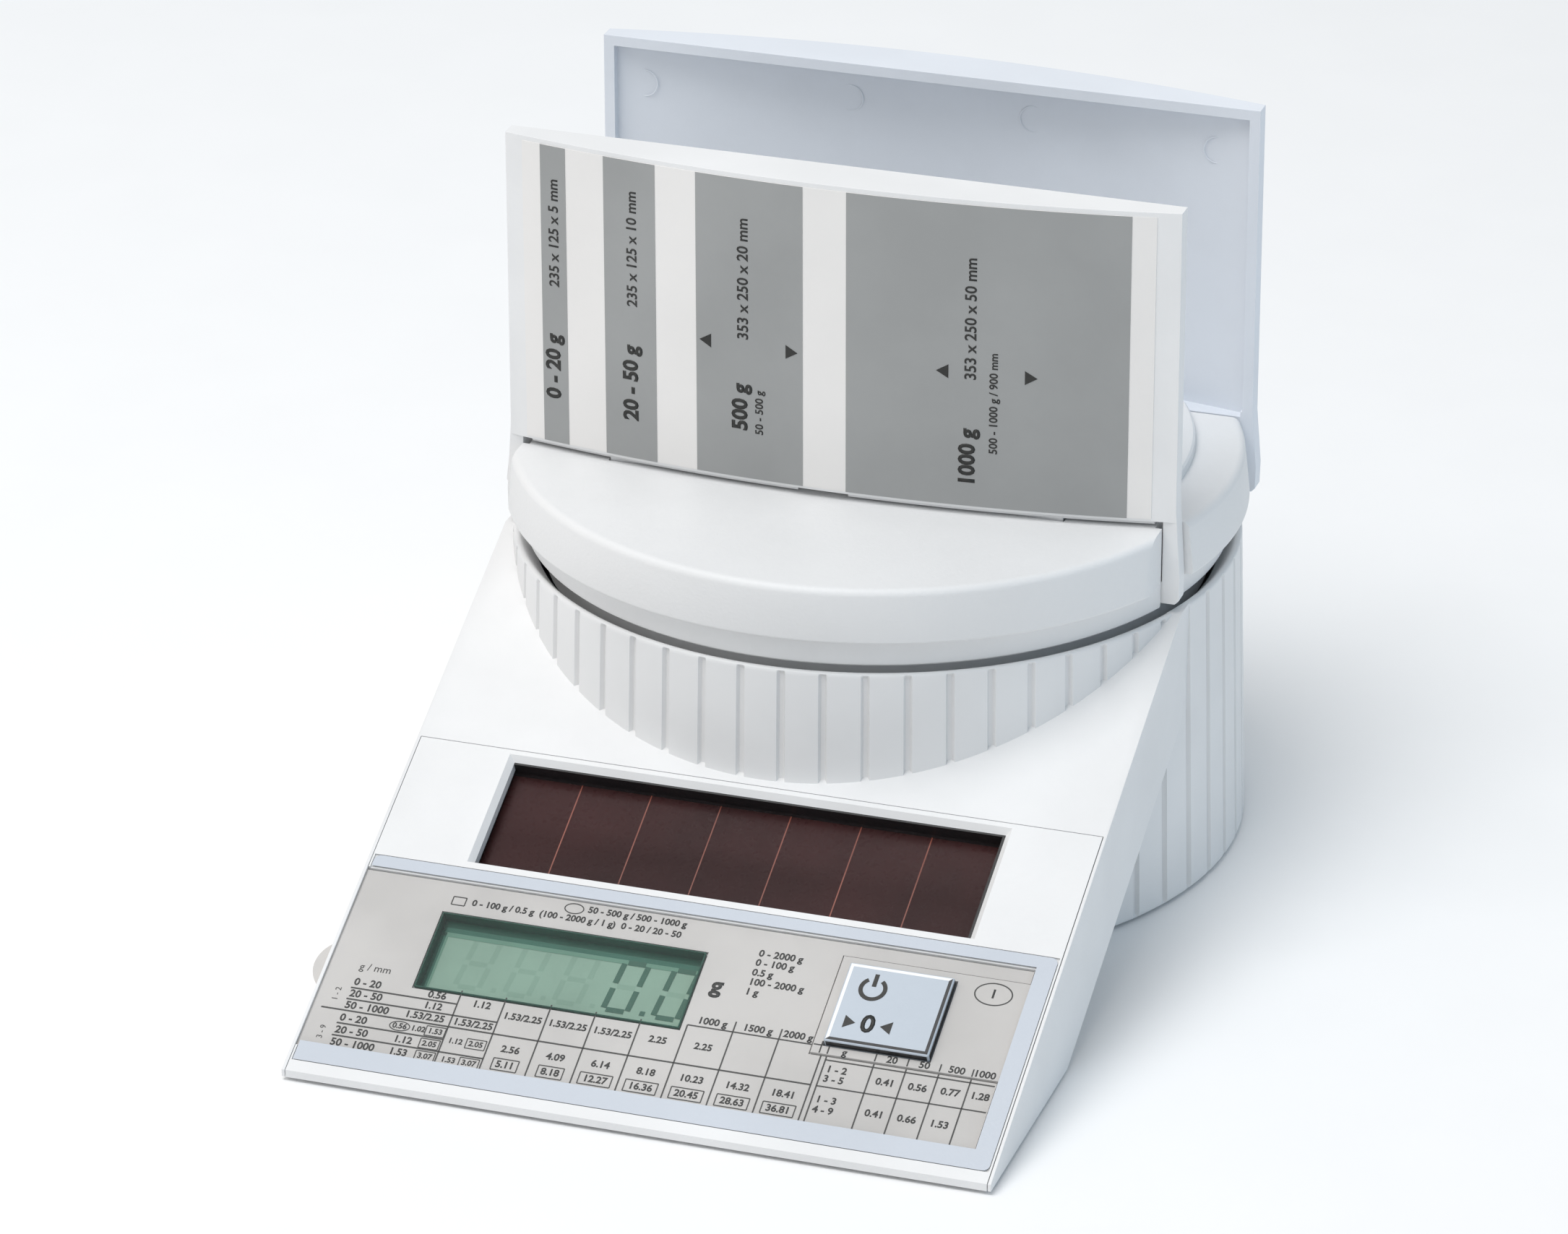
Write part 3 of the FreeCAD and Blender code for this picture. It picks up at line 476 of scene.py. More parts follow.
pan = {
    "topZ": 72.3, "rimR": 66.87, "topR": 66.0, "rimFootZ": 62.4, "fillet": 1.4, "ringR": 63.9,
    "ringZ": 56.8, "skirtR": 60.0, "skirtFootZ": 50.5, "plate": 2.5, "bossR": 57.0, "bossZ": 74.3,
    "letterY": (-18.7, 28.2), "rearSeatY": 38.8, "rearSeatZ": 69.7, "rearFloorR": 59.0,
    "rearFloorZ": (67.2, 70.4), "rearFloorEdge": 1.8,
    "earNotches": ((58.2, (-22.7, -18.7)), (58.2, (28.2, 33.3)), (59.42, (-34, -22.4))),
    "tongueX": ((-42, -26), (26, 42)), "slotY": ((-25.1, -22.3), (31.8, 34.6)), "slotGap": 0.3,
}


def buildPan():
    turn = fullTurn(240)
    shoulder = pan["topR"] - pan["fillet"]
    centreZ = pan["topZ"] - pan["fillet"]
    profile = [(0, pan["topZ"]), (30, pan["topZ"]), (shoulder - 1, pan["topZ"])]
    for i in range(9):
        a = math.pi / 2 * (1 - i / 8)
        profile.append((shoulder + pan["fillet"] * math.cos(a), centreZ + pan["fillet"] * math.sin(a)))
    profile += [
        (pan["rimR"], pan["rimFootZ"] + 0.6), (pan["rimR"] - 0.06, pan["rimFootZ"] + 0.3),
        (pan["rimR"] - 0.25, pan["rimFootZ"] + 0.08), (pan["rimR"] - 0.5, pan["rimFootZ"]),
        (pan["ringR"] + 0.3, pan["rimFootZ"]), (pan["ringR"], pan["rimFootZ"] - 0.4),
        (pan["ringR"] - 0.35, pan["ringZ"] + 0.4), (pan["ringR"] - 0.8, pan["ringZ"]),
        (pan["skirtR"], pan["ringZ"]), (pan["skirtR"], pan["skirtFootZ"]),
        (pan["skirtR"] - 2, pan["skirtFootZ"]), (pan["skirtR"] - 2, pan["topZ"] - pan["plate"]),
        (0, pan["topZ"] - pan["plate"]),
    ]
    body = solidOf(latheMesh("weighingPan", profile, turn))
    boss = solidOf(latheMesh("boss", [
        (0, pan["bossZ"]), (pan["bossR"] - 1, pan["bossZ"]), (pan["bossR"] - 0.5, pan["bossZ"] - 0.13),
        (pan["bossR"] - 0.13, pan["bossZ"] - 0.5), (pan["bossR"], pan["bossZ"] - 1),
        (pan["bossR"], pan["topZ"] - 1), (0, pan["topZ"] - 1),
    ], turn))
    combine(boss, [
        blockMesh("ahead", (-90, 90), (-90, pan["letterY"][0]), (60, 90)),
        blockMesh("behind", (-90, 90), (pan["letterY"][1], 90), (60, 90)),
    ], "DIFFERENCE")
    (z0, z1), floorR, edge = pan["rearFloorZ"], pan["rearFloorR"], pan["rearFloorEdge"]
    floorPiece = solidOf(latheMesh("rearFloor", [(0, z0), (floorR, z0), (floorR, z1), (0, z1)], turn))
    combine(floorPiece, [
        blockMesh("ahead", (-90, 90), (-90, pan["letterY"][1] - edge), (60, 90)),
        blockMesh("behind", (-90, 90), (pan["rearSeatY"] + edge, 90), (60, 90)),
    ], "DIFFERENCE")
    combine(body, [boss.data, floorPiece.data], "UNION")
    bpy.data.objects.remove(boss)
    bpy.data.objects.remove(floorPiece)
    tools = [blockMesh("rearSeat", (-90, 90), (pan["letterY"][1], pan["rearSeatY"]),
                       (pan["rearSeatZ"], 90))]
    for side in (-1, 1):
        for near, y in pan["earNotches"]:
            x = sorted((side * near, side * 90))
            tools.append(blockMesh("earNotch", x, y, (48, 90)))
    for x0, x1 in pan["tongueX"]:
        for y in pan["slotY"]:
            x = (x0 - pan["slotGap"], x1 + pan["slotGap"])
            tools.append(blockMesh("tongueSlot", x, y, (60, 90)))
    combine(body, tools, "DIFFERENCE")
    piece = addPiece("weighingPan", settle(body), "panWhite", "platform",
                     ["weighing_platform"])
    return softenEdges(piece, 0.35, 3)


buildPan()
print("platform built")

flap = {
    "halfW": 61.8, "topZ": 131.65, "footZ": 73.65, "openY": -19.1, "cornerY": -22.4, "apexY": -28.8,
    "wall": 2.0, "mirrorY": 4.75, "lipZ": 72.7, "earX": (59.5, 58.5, 62.7), "earFootZ": 57.9,
    "rearSillZ": 70.0, "lipHalfW": 57.9, "lipNotchX": (-5.9, 3.4), "earShoulderZ": (62.1, 61.5),
    "tongueY": (-24.8, -22.6), "tongueFootZ": 63.8,
}
flapSag = flap["cornerY"] - flap["apexY"]
flapR = (flap["halfW"] ** 2 + flapSag ** 2) / (2 * flapSag)


def flapSkinY(x, lift=0.0):
    return flap["apexY"] + flapR - math.sqrt((flapR + lift) ** 2 - x * x)


def flapOutline(half, lift, backY, steps=48):
    arc = [(-half + 2 * half * i / steps) for i in range(steps + 1)]
    return [(x, flapSkinY(x, lift)) for x in arc] + [(half, backY), (-half, backY)]


def mirrored(points):
    return [(x, 2 * flap["mirrorY"] - y) for x, y in points]


def buildFlap(name, rear):
    flip = mirrored if rear else (lambda points: points)
    foot = flap["rearSillZ"] + 0.4 if rear else flap["footZ"]
    lip = flap["rearSillZ"] if rear else flap["lipZ"]
    wall, half = flap["wall"], flap["halfW"]
    tray = solidOf(prismMesh(name, flip(flapOutline(half, 0, flap["openY"])), foot, flap["topZ"], "z"))
    hollow = flip(flapOutline(half - wall, -wall, flap["openY"] + 2))
    combine(tray, [prismMesh("trayHollow", hollow, foot + wall, flap["topZ"] - wall, "z")], "DIFFERENCE")
    lipOutline = flip(flapOutline(flap["lipHalfW"], -1.2, flap["openY"]))
    additions = [prismMesh("lip", lipOutline, lip, foot + 1, "z")]
    inner, hook, out = flap["earX"]
    innerZ, hookZ = flap["earShoulderZ"]
    for side in (-1, 1):
        outline = [
            (side * inner, foot + 3), (side * inner, innerZ), (side * hook, hookZ),
            (side * hook, flap["earFootZ"]), (side * (out - 0.8), flap["earFootZ"]),
            (side * (out - 0.1), flap["earFootZ"] + 0.7), (side * out, flap["earFootZ"] + 5),
            (side * half, foot + 3),
        ]
        y = [flap["cornerY"], flap["openY"]]
        if rear:
            y = [2 * flap["mirrorY"] - v for v in y]
        additions.append(prismMesh("ear", outline, min(y), max(y), "y"))
    for x in pan["tongueX"]:
        y = sorted(2 * flap["mirrorY"] - v if rear else v for v in flap["tongueY"])
        additions.append(blockMesh("tongue", x, y, (flap["tongueFootZ"], foot + 1)))
    combine(tray, additions, "UNION")
    if not rear:
        notch = blockMesh("lipNotch", flap["lipNotchX"], (-40, -22.0), (60, foot))
        combine(tray, [notch], "DIFFERENCE")
    node = "rear_flap" if rear else "front_flap"
    body = "rear_flap_unit" if rear else "front_flap_unit"
    # the rear flap's finish has painted shade in its colour
    finish = "rearFlapPaintedShade" if rear else "flapWhite"
    piece = addPiece(name, settle(tray, 0.2), finish, body, [node])
    return softenEdges(piece, 0.55, 4, 40)


buildFlap("frontFlap", False)
buildFlap("rearFlap", True)


ejector = {
    "x": (-54.9, -17.0, 17.7, 53.2), "z": 122.1, "steps": 32,
    "ring": ((2.62, 0.05), (2.55, -0.03), (2.42, -0.03), (2.35, 0.05)),      # radius, lift off the skin
}


# shallow ring marks where the mould's pins pushed the rear flap out
def buildEjectorMarks():
    verts, faces = [], []
    steps = ejector["steps"]
    for x in ejector["x"]:
        y = 2 * flap["mirrorY"] - flapSkinY(x, -flap["wall"]) - 0.03
        start = len(verts)
        for a in fullTurn(steps):
            for r, lift in ejector["ring"]:
                verts.append(at(x + r * math.cos(a), y + lift, ejector["z"] + r * math.sin(a)))
        for i in range(steps):
            here, there = start + i * 4, start + (i + 1) % steps * 4
            for k in range(4):
                turned = (k + 1) % 4
                faces.append((here + k, here + turned, there + turned, there + k))
    mesh = meshOf("ejectorMarks", verts, faces)
    # the marks share the rear flap's painted-shade colour
    return addPiece("ejectorMarks", mesh, "rearFlapPaintedShade", "rear_flap_unit")


buildEjectorMarks()
print("flaps built")


def letterMesh(text, height, bold=0.0, side="CENTER"):
    curve = bpy.data.curves.new("ink", "FONT")
    curve.body = text
    curve.size = height * 1.38 * mm
    curve.offset = bold * mm
    curve.align_x = side
    curve.align_y = "CENTER"
    curve.resolution_u = 3
    holder = bpy.data.objects.new("ink", curve)
    bpy.context.scene.collection.objects.link(holder)
    mesh = bpy.data.meshes.new_from_object(
        holder.evaluated_get(bpy.context.evaluated_depsgraph_get())
    )
    bpy.data.objects.remove(holder)
    return mesh


# gathers flat shapes drawn in a sheet's own x and y, mm, and places them on a surface
class InkSheet:
    def __init__(self, name, surface, thickness):
        self.name, self.surface, self.thickness = name, surface, thickness
        self.bm = bmesh.new()

    def polygon(self, points):
        low = [self.bm.verts.new((x * mm, y * mm, 0)) for x, y in points]
        self.bm.faces.new(low)

    def rule(self, a, b, width):
        dx, dy = b[0] - a[0], b[1] - a[1]
        length = math.hypot(dx, dy)
        ox, oy = -dy / length * width / 2, dx / length * width / 2
        self.polygon([(a[0] + ox, a[1] + oy), (b[0] + ox, b[1] + oy),
                      (b[0] - ox, b[1] - oy), (a[0] - ox, a[1] - oy)])

    def frame(self, x, y, width):
        corners = [(x[0], y[0]), (x[1], y[0]), (x[1], y[1]), (x[0], y[1])]
        for a, b in zip(corners, corners[1:] + corners[:1]):
            self.rule(a, b, width)

    def ring(self, x, y, rx, ry, width, start=0.0, end=2 * math.pi):
        steps = 36
        for i in range(steps):
            a, b = (start + (end - start) * k / steps for k in (i, i + 1))
            inner = [(x + (rx - width) * math.cos(t), y + (ry - width) * math.sin(t)) for t in (a, b)]
            outer = [(x + rx * math.cos(t), y + ry * math.sin(t)) for t in (b, a)]
            self.polygon(inner + outer)

    def text(self, words, x, y, height, angle=0.0, bold=0.0, side="CENTER"):
        mesh = letterMesh(words, height, bold, side)
        turn = Matrix.Translation((x * mm, y * mm, 0)) @ Matrix.Rotation(angle, 4, "Z")
        mesh.transform(turn)
        self.bm.from_mesh(mesh)
        bpy.data.meshes.remove(mesh)

    def build(self, finish, body):
        flat = list(self.bm.faces)
        made = bmesh.ops.extrude_face_region(self.bm, geom=flat)
        lifted = [v for v in made["geom"] if isinstance(v, bmesh.types.BMVert)]
        bmesh.ops.translate(self.bm, verts=lifted, vec=(0, 0, self.thickness * mm))
        for vert in self.bm.verts:
            vert.co = self.surface(vert.co.x / mm, vert.co.y / mm, vert.co.z / mm)
        bmesh.ops.recalc_face_normals(self.bm, faces=self.bm.faces)
        mesh = bpy.data.meshes.new(self.name)
        self.bm.to_mesh(mesh)
        self.bm.free()
        return addPiece(self.name, mesh, finish, body, smooth=0)


# the gauge stripes' outer face on the front flap
def gaugeSurface(x, z, lift):
    return at(x, flapSkinY(x, 0.17 + lift), z)


def buildGaugePrint():
    ink = InkSheet("gaugePrint", gaugeSurface, 0.05)
    up = math.pi / 2
    for words, x, z, height, bold in (
        ("0 - 20 g", -52.6, 88.8, 2.9, 0.14), ("235 x 125 x 5 mm", -52.2, 114.4, 2.0, 0.04),
        ("20 - 50 g", -37.2, 88.6, 2.9, 0.14), ("235 x 125 x 10 mm", -36.8, 114.2, 2.0, 0.04),
        ("500 g", -16.2, 87.6, 2.9, 0.14), ("50 - 500 g", -12.6, 87.0, 1.5, 0.03),
        ("353 x 250 x 20 mm", -15.6, 112.0, 2.1, 0.04), ("1000 g", 25.4, 83.4, 2.9, 0.14),
        ("353 x 250 x 50 mm", 25.9, 109.6, 2.1, 0.04), ("500 - 1000 g / 900 mm", 30.0, 94.0, 1.5, 0.03),
    ):
        ink.text(words, x, z, height, up, bold)
    for x, side in ((-22.8, -1), (-6.6, 1), (20.8, -1), (36.5, 1)):
        ink.polygon([(x + side * 1.1, 99.4), (x - side * 1.1, 98.1), (x - side * 1.1, 100.7)])
    return ink.build("printInk", "front_flap_unit")


buildGaugePrint()
print("gauge print built")

card = {
    "x": (-63.2, 58.4), "u": (10.05, 48.45), "top": -0.65, "thick": 0.3, "notchX": 25.15,
    "notchU": (24.75, 45.85), "tabU": (22.9, 32.0), "tabReach": 2.1,
}


# a sheet lying n out of the slope
def slopeSurface(n):
    return lambda x, u, lift: onSlope(x, u, n + lift)


def buildCard():
    plate = solidOf(slopeBlock("tariffCard", card["x"], card["u"],
                               (card["top"] - card["thick"], card["top"])))
    tabHalf = (card["tabU"][1] - card["tabU"][0]) / 2
    tabMid = sum(card["tabU"]) / 2
    tabR = (tabHalf ** 2 + card["tabReach"] ** 2) / (2 * card["tabReach"])
    centreX = card["x"][0] - card["tabReach"] + tabR
    sweep = math.asin(tabHalf / tabR)
    rim = [(centreX - tabR * math.cos(-sweep + 2 * sweep * i / 20),
            tabMid + tabR * math.sin(-sweep + 2 * sweep * i / 20)) for i in range(21)]
    rim += [(card["x"][0] + 1.5, card["tabU"][1]), (card["x"][0] + 1.5, card["tabU"][0])]
    points = [onSlope(x, u, card["top"] - card["thick"]) for x, u in rim]
    points += [onSlope(x, u, card["top"]) for x, u in rim]
    combine(plate, [meshOf("tab", points, prismFaces(len(rim)))], "UNION")
    combine(plate, [
        slopeBlock("keyNotch", (card["notchX"], 90), card["notchU"], (-4, 3)),
        slopeBlock("lcdWindow", (lcdPlace["x"][0] - 0.3, lcdPlace["x"][1] + 0.3),
                   (lcdPlace["u"][0] - 0.3, lcdPlace["u"][1] + 0.3), (-4, 3)),
    ], "DIFFERENCE")
    return addPiece("tariffCard", settle(plate), "cardPaper", "card", ["tariff_card"])


buildCard()

keySurround = {"x": (25.45, 58.7), "u": (25.05, 45.55), "top": -0.35}
tariff = {
    "columns": (-37.7, -29.6, -21.4, -13.3, -5.2, 3.0, 11.1, 19.3, 27.4),
    "foot": 10.8, "middle": 18.65, "head": 26.75, "rule": 0.26, "figure": 1.4,
    "right": (28.4, 36.8, 42.5, 48.2, 53.9),
}


def buildCardPrint():
    ink = InkSheet("cardPrint", slopeSurface(card["top"]), 0.04)
    fixed = InkSheet("surroundPrint", slopeSurface(keySurround["top"]), 0.02)
    columns, rule, figure = tariff["columns"], tariff["rule"], tariff["figure"]
    foot, middle, head = tariff["foot"], tariff["middle"], tariff["head"]
    edge = keySurround["u"][0]
    # six rows of letter classes on the left
    ink.text("g / mm", -54.2, 28.1, 1.5)
    rows = ((24.8, "0 - 20"), (22.3, "20 - 50"), (19.8, "50 - 1000"),
            (17.1, "0 - 20"), (14.5, "20 - 50"), (11.9, "50 - 1000"))
    for u, words in rows:
        ink.text(words, -57.0, u, 1.5, 0, 0.05, "LEFT")
    for u, far in ((23.5, -37.7), (21.1, -29.6), (15.9, -37.7), (13.3, -29.6)):
        ink.rule((-57.2, u), (far, u), 0.3)
    ink.rule((-61.0, middle), (27.4, middle), 0.3)
    for words, u in (("1 - 2", 21.8), ("3 - 9", 13.6)):
        ink.text(words, -59.2, u, 1.1, math.pi / 2)
    for words, x, u in (("0.56", -41.7, 24.6), ("1.12", -41.7, 22.3), ("1.53/2.25", -42.4, 19.9),
                        ("1.12", -44.6, 14.5), ("1.53", -44.6, 11.9), ("1.12", -33.4, 24.1),
                        ("1.53/2.25", -33.6, 19.9)):
        ink.text(words, x, u, figure, 0, 0.05)
    for words, x, u in (("0.56", -46.1, 17.2), ("1.02", -42.7, 17.2), ("1.53", -39.6, 17.2),
                        ("2.05", -39.8, 14.5), ("3.07", -39.8, 11.9), ("1.12", -35.5, 15.9),
                        ("2.05", -31.8, 15.9), ("1.53", -35.5, 11.9), ("3.07", -31.8, 11.9)):
        ink.text(words, x, u, 1.1, 0, 0.04)
    ink.ring(-46.1, 17.2, 1.9, 1.05, 0.18)
    for x, u in ((-39.6, 17.2), (-39.8, 14.5), (-39.8, 11.9), (-31.8, 15.9), (-31.8, 11.9)):
        ink.frame((x - 1.75, x + 1.75), (u - 1.0, u + 1.0), 0.18)
    # the main grid
    for x in columns:
        top = edge - 0.3 if x > 25 else (28.9 if x > 10 else (head if x > 2 else 26.4))
        ink.rule((x, foot), (x, top), rule)
    ink.rule((3.0, head), (keySurround["x"][0] - 0.3, head), rule)
    fixed.rule((keySurround["x"][0] + 0.1, head), (27.0, head), rule)
    fixed.rule((27.0, edge + 0.1), (27.0, 27.6), rule)
    for i, words in enumerate(("1.53/2.25", "1.53/2.25", "1.53/2.25", "2.25", "2.25")):
        ink.text(words, (columns[i + 1] + columns[i + 2]) / 2, 22.7, figure * 0.97, 0, 0.05)
    boxes = ("5.11", "8.18", "12.27", "16.36", "20.45", "28.63", "36.81")
    for i, words in enumerate(("2.56", "4.09", "6.14", "8.18", "10.23", "14.32", "18.41")):
        x = (columns[i + 1] + columns[i + 2]) / 2
        ink.text(words, x, 15.9, figure, 0, 0.05)
        ink.text(boxes[i], x, 12.7, figure, 0, 0.05)
        half = 2.3 if i < 2 else 2.9
        ink.frame((x - half, x + half), (11.5, 13.9), 0.2)
    for words, x in (("1000 g", 7.1), ("1500 g", 15.2), ("2000 g", 22.4)):
        ink.text(words, x, 28.0, figure, 0, 0.05)
    # the small grid on the right
    for x in tariff["right"]:
        ink.rule((x, foot), (x, edge - 0.3), rule)
        fixed.rule((x, edge + 0.1), (x, 26.7), rule)
    for u in (24.1, middle):
        ink.rule((28.4, u), (58.2, u), rule)
    for words, x in (("g", 31.3), ("20", 39.7), ("50", 45.4), ("500", 51.1), ("1000", 56.0)):
        fixed.text(words, x, 25.9, figure, 0, 0.05)
    for words, u in (("1 - 2", 22.3), ("3 - 5", 20.3), ("1 - 3", 16.0), ("4 - 9", 13.9)):
        ink.text(words, 29.1, u, figure, 0, 0.05, "LEFT")
    for words, x, u in (("0.41", 39.7, 21.4), ("0.56", 45.4, 21.4), ("0.77", 51.1, 21.5),
                        ("1.28", 56.3, 21.6), ("0.41", 39.7, 14.8), ("0.66", 45.4, 14.8),
                        ("1.53", 51.1, 14.8)):
        ink.text(words, x, u, figure, 0, 0.05)
    # marks above and beside the display and the key
    ink.frame((-45.6, -43.2), (43.9, 45.6), 0.2)
    ranges = "0 - 100 g / 0.5 g  (100 - 2000 g / 1 g)  0 - 20 / 20 - 50"
    ink.text(ranges, -42.0, 44.8, 1.3, 0, 0.05, "LEFT")
    ink.ring(-23.9, 46.9, 1.8, 1.15, 0.2)
    ink.text("50 - 500 g / 500 - 1000 g", -21.4, 47.1, 1.3, 0, 0.05, "LEFT")
    ink.text("g", 5.6, 35.6, 3.3, 0, 0.14)
    for words, u in (("0 - 2000 g", 43.6), ("0 - 100 g", 41.6), ("0.5 g", 39.5), ("100 - 2000 g", 37.5),
                     ("1 g", 35.4)):
        ink.text(words, 10.7, u, 1.4, 0, 0.05, "LEFT")
    fixed.ring(52.9, 42.4, 3.4, 2.4, 0.25)
    fixed.text("1", 52.9, 42.4, 1.9, 0, 0.05)
    fixed.build("printInk", "base")
    return ink.build("printInk", "card")


buildCardPrint()


def buildFoil():
    half, (u0, u1), thick = panel["halfW"], panel["u"], panel["thick"]
    sheet = solidOf(slopeBlock("displayFoil", (-half, half), (u0, u1), (-thick + 0.03, -0.02)))
    gap = keyPlace["gap"]
    combine(sheet, [slopeBlock("keyHole", (keyPlace["x"][0] - gap, keyPlace["x"][1] + gap),
                               (keyPlace["u"][0] - gap, keyPlace["u"][1] + gap), (-3, 3))], "DIFFERENCE")
    piece = addPiece("displayFoil", settle(sheet), "clearFoil", "base", ["display_foil"])
    return softenEdges(piece, 0.08, 2)


buildFoil()


# tinted band printed round the foil on three sides
def buildFoilBorder():
    half, (u0, u1), band = panel["halfW"], panel["u"], panel["band"]
    foot, head = u0 + 4.0, u1 - 2.4
    r = 1.2
    ink = InkSheet("foilBorder", slopeSurface(-0.015), 0.02)
    outer = []
    for cx, cu, a0 in ((half - r, u0 + r, -90), (half - r, u1 - r, 0)):
        for i in range(7):
            a = math.radians(a0 + 15 * i)
            outer.append((cx + r * math.cos(a), cu + r * math.sin(a)))
    for i in range(7):
        a = math.radians(90 + 15 * i)
        outer.append((-half + r + r * math.cos(a), u1 - r + r * math.sin(a)))
    ink.polygon([(-half, u0)] + outer[:7] + [(half, foot), (-half, foot)])
    ink.polygon([(half - band, foot), (half, foot), (half, head), (half - band, head)])
    ink.polygon([(-half, head), (half, head)] + outer[7:])
    return ink.build("foilBorder", "base")


buildFoilBorder()


figures = {
    "width": 4.3, "height": 10.2, "bar": 1.0, "gap": 0.55, "lean": 0.09, "pitch": 9.0, "first": -37.6,
    "u": 33.7,
}


# seven bars of one figure: centre, and the set of lit bars, leaning a little to the right
def segmentBars(cx, cu, lit):
    w, h, t, lean = figures["width"], figures["height"], figures["bar"], figures["lean"]
    gap = figures["gap"]
    bars = {
        "top": ((-w / 2 + gap, h / 2), (w / 2 - gap, h / 2)), "mid": ((-w / 2 + gap, 0), (w / 2 - gap, 0)),
        "foot": ((-w / 2 + gap, -h / 2), (w / 2 - gap, -h / 2)),
        "upLeft": ((-w / 2, gap), (-w / 2, h / 2 - 0.3)), "upRight": ((w / 2, gap), (w / 2, h / 2 - 0.3)),
        "lowLeft": ((-w / 2, -h / 2 + 0.3), (-w / 2, -gap)),
        "lowRight": ((w / 2, -h / 2 + 0.3), (w / 2, -gap)),
    }
    made = []
    for name, (a, b) in bars.items():
        if name in lit:
            made.append(((cx + a[0] + lean * a[1], cu + a[1]), (cx + b[0] + lean * b[1], cu + b[1]), t))
    return made


def buildDisplay():
    top = -console["cover"]
    (x0, x1), (u0, u1) = lcdPlace["x"], lcdPlace["u"]
    glass = solidOf(slopeBlock("displayGlass", (x0 - 2.7, x1 + 2.7), (u0 - 2.6, u1 + 3.4),
                               (top - 1.6, top - 0.02)))
    piece = addPiece("displayGlass", settle(glass), "lcdGround", "base", ["lcd_glass"])
    softenEdges(piece, 0.1, 2)
    ghost = InkSheet("ghostFigures", slopeSurface(top - 0.02), 0.01)
    dark = InkSheet("litFigures", slopeSurface(top + 0.04), 0.02)
    every = {"top", "mid", "foot", "upLeft", "upRight", "lowLeft", "lowRight"}
    zero = every - {"mid"}
    cu = figures["u"]
    for i in range(5):
        cx = figures["first"] + i * figures["pitch"]
        lit = zero if i > 2 else set()
        for a, b, t in segmentBars(cx, cu, every - lit):
            ghost.rule(a, b, t)
        for a, b, t in segmentBars(cx, cu, lit):
            dark.rule(a, b, t)
        sheet = dark if i == 3 else ghost
        px, pu = cx + figures["pitch"] / 2 - 0.1, cu - 5.3
        if px < x1:
            sheet.polygon([(px - 0.45, pu), (px + 0.45, pu), (px + 0.5, pu + 0.9), (px - 0.4, pu + 0.9)])
    ghost.build("lcdGhost", "base")
    dark.build("lcdDigit", "base")
    # painted shade: dark green bands on the glass stand in for the recess's shadow on its far and left
    # edges, darkest nearest the edge
    farStart, leftStart = 0.0, 0.0
    for finish, far, left in (("lcdDarkGreenAndShade", 1.6, 0.9), ("lcdShade", 2.6, 1.3), ("lcdHalfShade", 3.5, 1.7)):
        band = InkSheet("shade" + finish, slopeSurface(top + 0.02), 0.01)
        band.polygon([(x0, u1 - far), (x1, u1 - far), (x1, u1 - farStart), (x0, u1 - farStart)])
        band.polygon([(x0 + leftStart, u0), (x0 + left, u0), (x0 + left, u1 - far),
                      (x0 + leftStart, u1 - far)])
        band.build(finish, "base")
        farStart, leftStart = far, left
    # dark green liner round the display's opening, its dark green deepened with painted shade of the recess
    # walls
    liner = solidOf(slopeBlock("displayLiner", (x0, x1), (u0, u1), (top, -0.4)))
    combine(liner, [slopeBlock("lining", (x0 + 0.25, x1 - 0.25), (u0 + 0.25, u1 - 0.25),
                               (top - 1, 2))], "DIFFERENCE")
    lined = addPiece("displayLiner", settle(liner), "lcdDarkGreenAndShade", "base")
    return softenEdges(lined, 0.06, 1)


buildDisplay()
print("card, foil and display built")

solar = {"half": 44.95, "u": (53.6, 75.55), "top": -4.0, "cells": 7}


def buildSolarCell():
    plate = solidOf(slopeBlock("solarCell", (-solar["half"], solar["half"]), solar["u"],
                               (-4.6, solar["top"])))
    piece = addPiece("solarCell", settle(plate), "cellBrown", "base", ["solar_cell"])
    softenEdges(piece, 0.08, 2)
    ink = InkSheet("cellLines", slopeSurface(solar["top"]), 0.02)
    pitch = 2 * solar["half"] / solar["cells"]
    for i in range(1, solar["cells"]):
        x = -solar["half"] + i * pitch
        ink.rule((x, solar["u"][0]), (x, solar["u"][1]), 0.22)
    return ink.build("cellLine", "base")


buildSolarCell()


